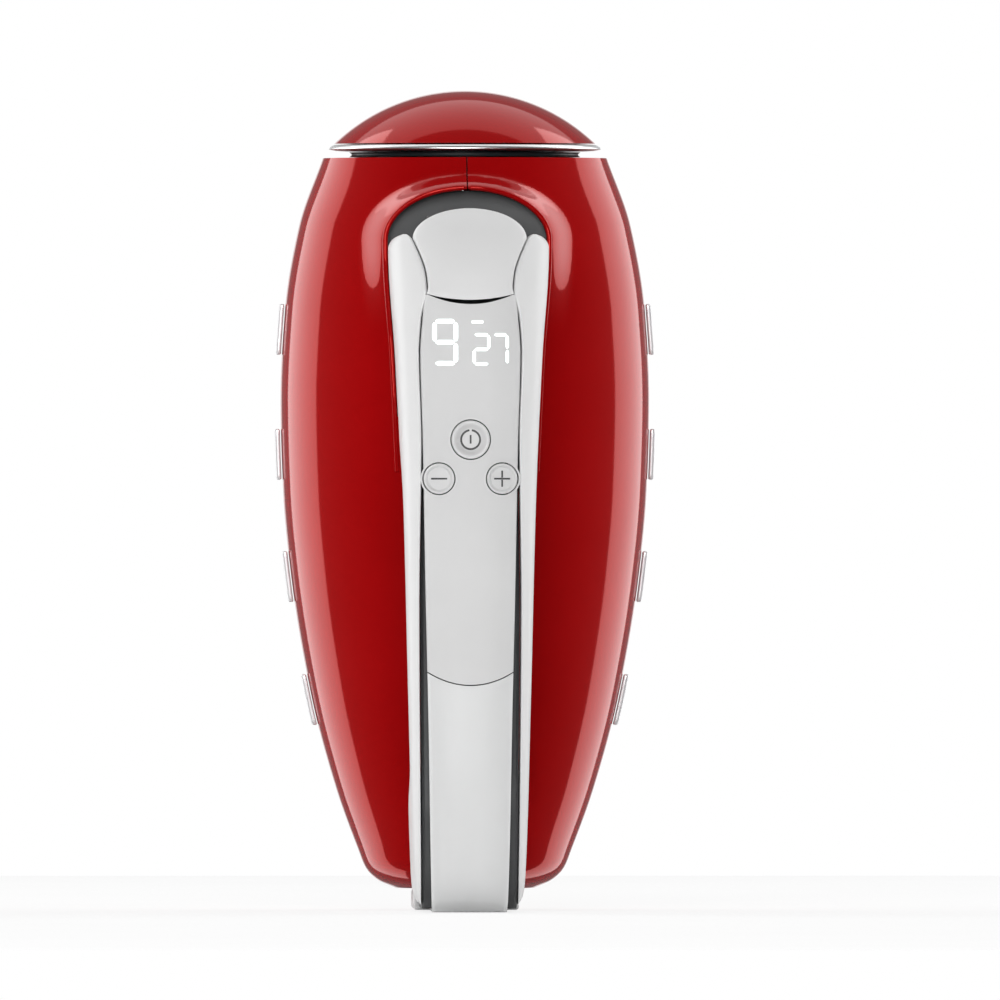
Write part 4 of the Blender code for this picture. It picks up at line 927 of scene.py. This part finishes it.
def ribbon(name, path, width, low, high, cyclic=False, point=1.0):
    """A thin strip along (x, height) points on the handle, between two rises over its surface.

    Its ends have a share, point, of its width."""
    points = [Vector((x, 0, z)) for x, z in path]
    shape = bmesh.new()
    rows = []
    for index, middle in enumerate(points):
        half = width / 2 * (point if index in (0, len(points) - 1) else 1.0)
        section = [(-half, low), (half, low), (half, high), (-half, high)]
        if cyclic:
            along = points[(index + 1) % len(points)] - points[index - 1]
        else:
            along = points[min(index + 1, len(points) - 1)] - points[max(index - 1, 0)]
        sideways = along.normalized().cross(Vector((0, 1, 0)))
        row = []
        for a, rise in section:
            place = middle + a * sideways
            row.append(shape.verts.new(on_handle(place.x, place.z, rise)))
        rows.append(row)
    bridge(shape, rows, cyclic, caps=True)
    return close_mesh(shape, name)


def straight(start, end, steps=6):
    start, end = np.array(start), np.array(end)
    return [tuple(start + (end - start) * k / steps) for k in range(steps + 1)]


def circle(x, height, radius, first=0.0, last=360.0, steps=48):
    made = []
    for k in range(steps + 1):
        angle = math.radians(first + (last - first) * k / steps)
        made.append((x + radius * math.cos(angle), height + radius * math.sin(angle)))
    return made


DISH_DEPTH = 0.0016
KEY_RISE = 0.0004
INK_DEPTH = 0.0002
INK_RISE = 0.00004
STEP_STROKE = 0.00042


def key_profile(radius, flat_share):
    """A key dished inside its rim, down to a flat middle of a share of its radius."""
    rows = [(radius, 0.0), (0.985 * radius, 0.00025), (0.955 * radius, 0.00038), (0.925 * radius, KEY_RISE)]
    slope = 0.90 - flat_share
    for k in range(1, 9):
        share = 0.90 - slope * k / 8
        rows.append((share * radius, KEY_RISE - DISH_DEPTH * slope / 0.4 * ramp(k / 8, 0.0, 1.0)))
    return rows + [(0.25 * radius, rows[-1][1])]


def make_keys():
    for word, x, height, radius in BUTTONS:
        body = f"{word}_key"
        profile = key_profile(radius, 0.52 if word == "power" else 0.70)
        rise = profile[-1][1]
        key = key_top(word, x, height, profile, BUTTON_FLOOR)
        piece(f"{word}_key_cap", key, "button_silver", body, (f"{word}_button",))
        bezel = ribbon(word, circle(x, height, radius + 0.00055)[:-1], 0.00045, -0.0006, 0.00012, True)
        piece(f"{word}_bezel", bezel, "button_silver")
        if word == "power":
            mark = straight((x, height - 0.0010), (x, height + 0.0012))
            strokes = [(circle(x, height, 0.0024, 97, 443), 0.00050), (mark, 0.00045)]
        else:
            strokes = [(straight((x - 0.00205, height), (x + 0.00205, height)), STEP_STROKE)]
        if word == "plus":
            for end in (-1, 1):
                path = straight((x, height + end * 0.00028), (x, height + end * 0.00205))
                strokes.append((path, STEP_STROKE))
        ink = (rise - INK_DEPTH, rise + INK_RISE)
        meshes = [ribbon(word, path, width, *ink) for path, width in strokes]
        piece(f"{word}_icon", joined(word, meshes), "button_silver", body, material=ICON_INK)


SEGMENTS = {"9": "abcdfg", "2": "abged", "7": "abc"}
BAR_ENDS = {
    "a": ((0, 2), (1, 2)), "b": ((1, 2), (1, 1)), "c": ((1, 1), (1, 0)), "d": ((0, 0), (1, 0)),
    "e": ((0, 1), (0, 0)), "f": ((0, 2), (0, 1)), "g": ((0, 1), (1, 1)),
}
FIGURE_LOW = 0.1388
SMALL_FIGURE_HIGH = 0.1470
SMALL_STROKE = 0.00078


def digit(figure, low, high, width):
    """The lit bars of one seven-bar figure between two corners (x, height)."""
    meshes = []
    half = width / 2
    left, right = low[0] + half, high[0] - half
    rows = (low[1] + half, (low[1] + high[1]) / 2, high[1] - half)
    for bar in SEGMENTS[figure]:
        (x1, row1), (x2, row2) = BAR_ENDS[bar]
        start = Vector(((left, right)[x1], rows[row1]))
        end = Vector(((left, right)[x2], rows[row2]))
        trim = (end - start).normalized() * 0.26 * width
        path = straight((start + trim)[:], (end - trim)[:], 8)
        meshes.append(ribbon(figure, path, width, -INK_DEPTH, INK_RISE, point=0.35))
    return meshes


def make_display():
    meshes = digit("9", (-0.0097, FIGURE_LOW), (-0.0032, 0.1506), 0.00112)
    meshes += digit("2", (0.0005, FIGURE_LOW), (0.0050, SMALL_FIGURE_HIGH), SMALL_STROKE)
    meshes += digit("7", (0.0055, FIGURE_LOW), (0.0097, SMALL_FIGURE_HIGH), SMALL_STROKE)
    dash = straight((0.0003, 0.14985), (0.0032, 0.14985))
    meshes.append(ribbon("dash", dash, 0.0007, -INK_DEPTH, INK_RISE))
    piece("lit_figures", joined("figures", meshes), "display_glass", material=DIGIT_LIGHT)


def eject_half(height):
    if height <= EJECT_SHOULDER:
        return rail_inner(height) - GAP
    share = (height - EJECT_SHOULDER) / (EJECT_HIGH - EJECT_SHOULDER)
    return (rail_inner(EJECT_SHOULDER) - GAP) * math.sqrt(max(1 - share**2, 0.01))


def make_eject():
    dome = EJECT_HIGH - EJECT_SHOULDER
    heights = spaced(EJECT_LOW, EJECT_SHOULDER, 30)
    heights += [EJECT_SHOULDER + dome * math.sin(0.5 * math.pi * k / 18) for k in range(1, 19)]
    rings = []
    for height in heights:
        rings.append(cover_ring(height, eject_half(height), EJECT_FLOOR, 0.0005))
    mesh = loft("eject", rings, 42.0, strip=True)
    for vert in mesh.vertices:
        low_end = 1 - ramp(vert.co.z, EJECT_LOW, EJECT_LOW + 0.006)
        across = min((vert.co.x / BOW_HALF_WIDTH) ** 2, 1.0)
        vert.co.z += (0.0005 + KEY_SMILE * across) * low_end
    piece("eject_key", mesh, "button_silver", "eject_slider", ("eject_button",), FINISHES["silver_rail"])


# Beaters and cord inlet.

WIRE_RADIUS = 0.0011
CAGE_START = 0.0640
BEATER_END = 0.1280
CAGE_TWIST = 0.07


def cage(place, turn):
    """One closed wire loop of a beater, in a plane through its stem."""
    out = Vector((math.cos(turn), 0, math.sin(turn)))
    flat = []
    steps = 36
    for k in range(steps + 1):
        share = k / steps
        y = CAGE_START + (BEATER_END - 0.003 - CAGE_START) * (0.5 - 0.5 * math.cos(math.pi * share))
        reach = math.sin(math.pi * share) ** 0.62
        flat.append((max((BEATER_RADIUS - WIRE_RADIUS) * reach, WIRE_RADIUS), y))
    flat += [(-radius, y) for radius, y in reversed(flat)]
    points = [place + out * radius + Vector((0, y, 0)) for radius, y in flat]
    normal = out.cross(Vector((0, 1, 0)))

    def ways(index):
        along = points[(index + 1) % len(points)] - points[index - 1]
        return normal, along.normalized().cross(normal)

    return sweep("cage", points, round_section(WIRE_RADIUS, 12), ways, True)


def make_beaters():
    profile = (
        (0, BEATER_END), (0.0016, BEATER_END), (0.0023, BEATER_END - 0.0003),
        (0.0026, BEATER_END - 0.0010), (0.0026, 0.0665), (0.0031, 0.0655), (0.0031, 0.0622),
        (0.0026, 0.0612), (0.0026, 0.0293), (0.0036, 0.0289), (0.0043, 0.0286), (0.0044, 0.0280),
        (0.0044, 0.0264), (0.0042, 0.0259), (0.0029, 0.0259), (0.0029, -0.0043), (0.0023, -0.0050),
        (0, -0.0050),
    )
    for side, word in SIDES:
        place = Vector((side * GEAR_OFFSET, 0, GEAR_HEIGHT))
        stem = lathe("stem", profile, place, "Y", 40)
        steps = [("UNION", cage(place, share * math.pi + CAGE_TWIST)) for share in (0.25, 0.75)]
        mesh = carved(stem, word, *steps, crease=45.0)
        replaced = (f"{word}_beater", f"{word}_stem")
        piece(f"{word}_whisk_steel", mesh, "beater_steel", f"{word}_whisk", replaced)


def make_inlet():
    reach = BODY_ROUNDNESS * body_outline(INLET_HEIGHT + 0.005)
    bore, rim, groove = 0.0034, 0.0054, 0.0049
    profile = [(bore, reach + 0.0012), (0.0037, reach + 0.0015), (0.0047, reach + 0.0015)]
    profile += [(0.0052, reach + 0.0013), (rim, reach + 0.0009), (rim, reach + 0.0003)]
    for k in range(4):
        start = reach - 0.0006 - 0.0017 * k
        profile += [(rim, start), (groove, start - 0.0003)]
        profile += [(groove, start - 0.0009), (rim, start - 0.0012)]
    profile += [(rim, reach - 0.0075), (bore, reach - 0.0075)]
    mesh = lathe("inlet", profile, (0, 0, INLET_HEIGHT), "Y", 64)
    piece("inlet_grommet", mesh, "rubber", replaced=("cord_inlet",))


# Studio.

CENTRE = Vector((0.009, 0.0, 0.1047))
VIEW_WIDTH = 0.2561
CAMERA_DISTANCE = 10.0
CAMERA_TURN = math.radians(-0.9)
BACKDROP_EDGE = 0.97


def area_light(name, direction, distance, size, strength):
    """A softbox of (width, height) that faces the object, with about this radiance."""
    lamp = bpy.data.lights.new(name, "AREA")
    lamp.shape = "RECTANGLE"
    lamp.size, lamp.size_y = size
    lamp.energy = strength * math.pi * size[0] * size[1]
    made = bpy.data.objects.new(name, lamp)
    bpy.context.scene.collection.objects.link(made)
    way = Vector(direction).normalized()
    made.location = Vector((0, 0, 0.105)) + way * distance
    made.rotation_euler = way.to_track_quat("Z", "Y").to_euler()
    made.visible_camera = False
    return made


def make_lights():
    for side, word in SIDES:
        angle = math.radians(124)
        way = (side * math.sin(angle), -math.cos(angle), 0.0)
        area_light(f"{word}_strip", way, 1.3, (0.95, 3.6), 2.1)
        fill = area_light(f"{word}_fill", (side, -0.05, 0.35), 1.5, (1.0, 1.6), 1.15)
        fill.visible_glossy = False
    area_light("front", (-0.12, -1, 0.32), 2.4, (1.25, 1.25), 7.8)
    area_light("top", (0, 0.55, 1), 1.3, (2.6, 0.9), 0.85)
    world = bpy.data.worlds.new("studio")
    bpy.context.scene.world = world
    world.use_nodes = True
    tree = world.node_tree
    tree.nodes.clear()
    path = tree.nodes.new("ShaderNodeLightPath")
    place = tree.nodes.new("ShaderNodeTexCoord")
    way = tree.nodes.new("ShaderNodeSeparateXYZ")
    tree.links.new(place.outputs["Generated"], way.inputs[0])

    def combine(operation, first, second):
        made = tree.nodes.new("ShaderNodeMath")
        made.operation = operation
        tree.links.new(first, made.inputs[0])
        if isinstance(second, float):
            made.inputs[1].default_value = second
        else:
            tree.links.new(second, made.inputs[1])
        return made.outputs[0]

    behind = combine("GREATER_THAN", way.outputs["Y"], BACKDROP_EDGE)
    mirrored = combine("MULTIPLY", path.outputs["Is Glossy Ray"], behind)
    seen = combine("MAXIMUM", path.outputs["Is Camera Ray"], path.outputs["Is Transmission Ray"])
    seen = combine("MAXIMUM", seen, mirrored)
    room = tree.nodes.new("ShaderNodeMapRange")
    room.inputs["From Min"].default_value = -0.55
    room.inputs["From Max"].default_value = 0.25
    room.inputs["To Min"].default_value = 0.03
    room.inputs["To Max"].default_value = 0.24
    tree.links.new(way.outputs["Y"], room.inputs["Value"])
    strength = combine("MAXIMUM", seen, room.outputs["Result"])
    back = tree.nodes.new("ShaderNodeBackground")
    back.inputs["Color"].default_value = (1, 1, 1, 1)
    out = tree.nodes.new("ShaderNodeOutputWorld")
    tree.links.new(strength, back.inputs["Strength"])
    tree.links.new(back.outputs["Background"], out.inputs["Surface"])


def make_floor():
    shape = bmesh.new()
    bmesh.ops.create_grid(shape, x_segments=8, y_segments=8, size=0.9)
    floor = bpy.data.objects.new("floor", close_mesh(shape, "floor"))
    bpy.context.scene.collection.objects.link(floor)
    floor.location.z = -0.0002
    floor.visible_glossy = False
    pale = finish("floor_paper", (0.90, 0.90, 0.90), 0.8, (0.87, 0.87, 0.87), cloud=12.0, grain=400.0)
    tree = pale.node_tree
    glow = tree.nodes.new("ShaderNodeEmission")
    mix = tree.nodes.new("ShaderNodeMixShader")
    path = tree.nodes.new("ShaderNodeLightPath")
    share = tree.nodes.new("ShaderNodeMath")
    share.operation = "MULTIPLY"
    share.inputs[1].default_value = 0.8
    tree.links.new(path.outputs["Is Camera Ray"], share.inputs[0])
    tree.links.new(share.outputs[0], mix.inputs["Fac"])
    tree.links.new(tree.nodes["Principled BSDF"].outputs[0], mix.inputs[1])
    tree.links.new(glow.outputs[0], mix.inputs[2])
    tree.links.new(mix.outputs[0], tree.nodes["Material Output"].inputs["Surface"])
    floor.data.materials.append(pale)


def make_camera():
    lens = bpy.data.cameras.new("camera")
    lens.sensor_width = 36.0
    lens.lens = lens.sensor_width * CAMERA_DISTANCE / VIEW_WIDTH
    lens.clip_start, lens.clip_end = 0.1, 40.0
    camera = bpy.data.objects.new("camera", lens)
    bpy.context.scene.collection.objects.link(camera)
    way = Vector((math.sin(CAMERA_TURN), -math.cos(CAMERA_TURN), 0.0))
    camera.location = CENTRE + way * CAMERA_DISTANCE
    camera.rotation_euler = way.to_track_quat("Z", "Y").to_euler()
    bpy.context.scene.camera = camera
    bpy.context.scene.view_settings.view_transform = "Standard"


dress_frame()
make_body()
make_lip()
make_nose()
make_bars()
make_core()
make_rails()
make_spine()
make_panel()
make_keys()
make_display()
make_eject()
make_beaters()
make_inlet()
make_lights()
make_floor()
make_camera()
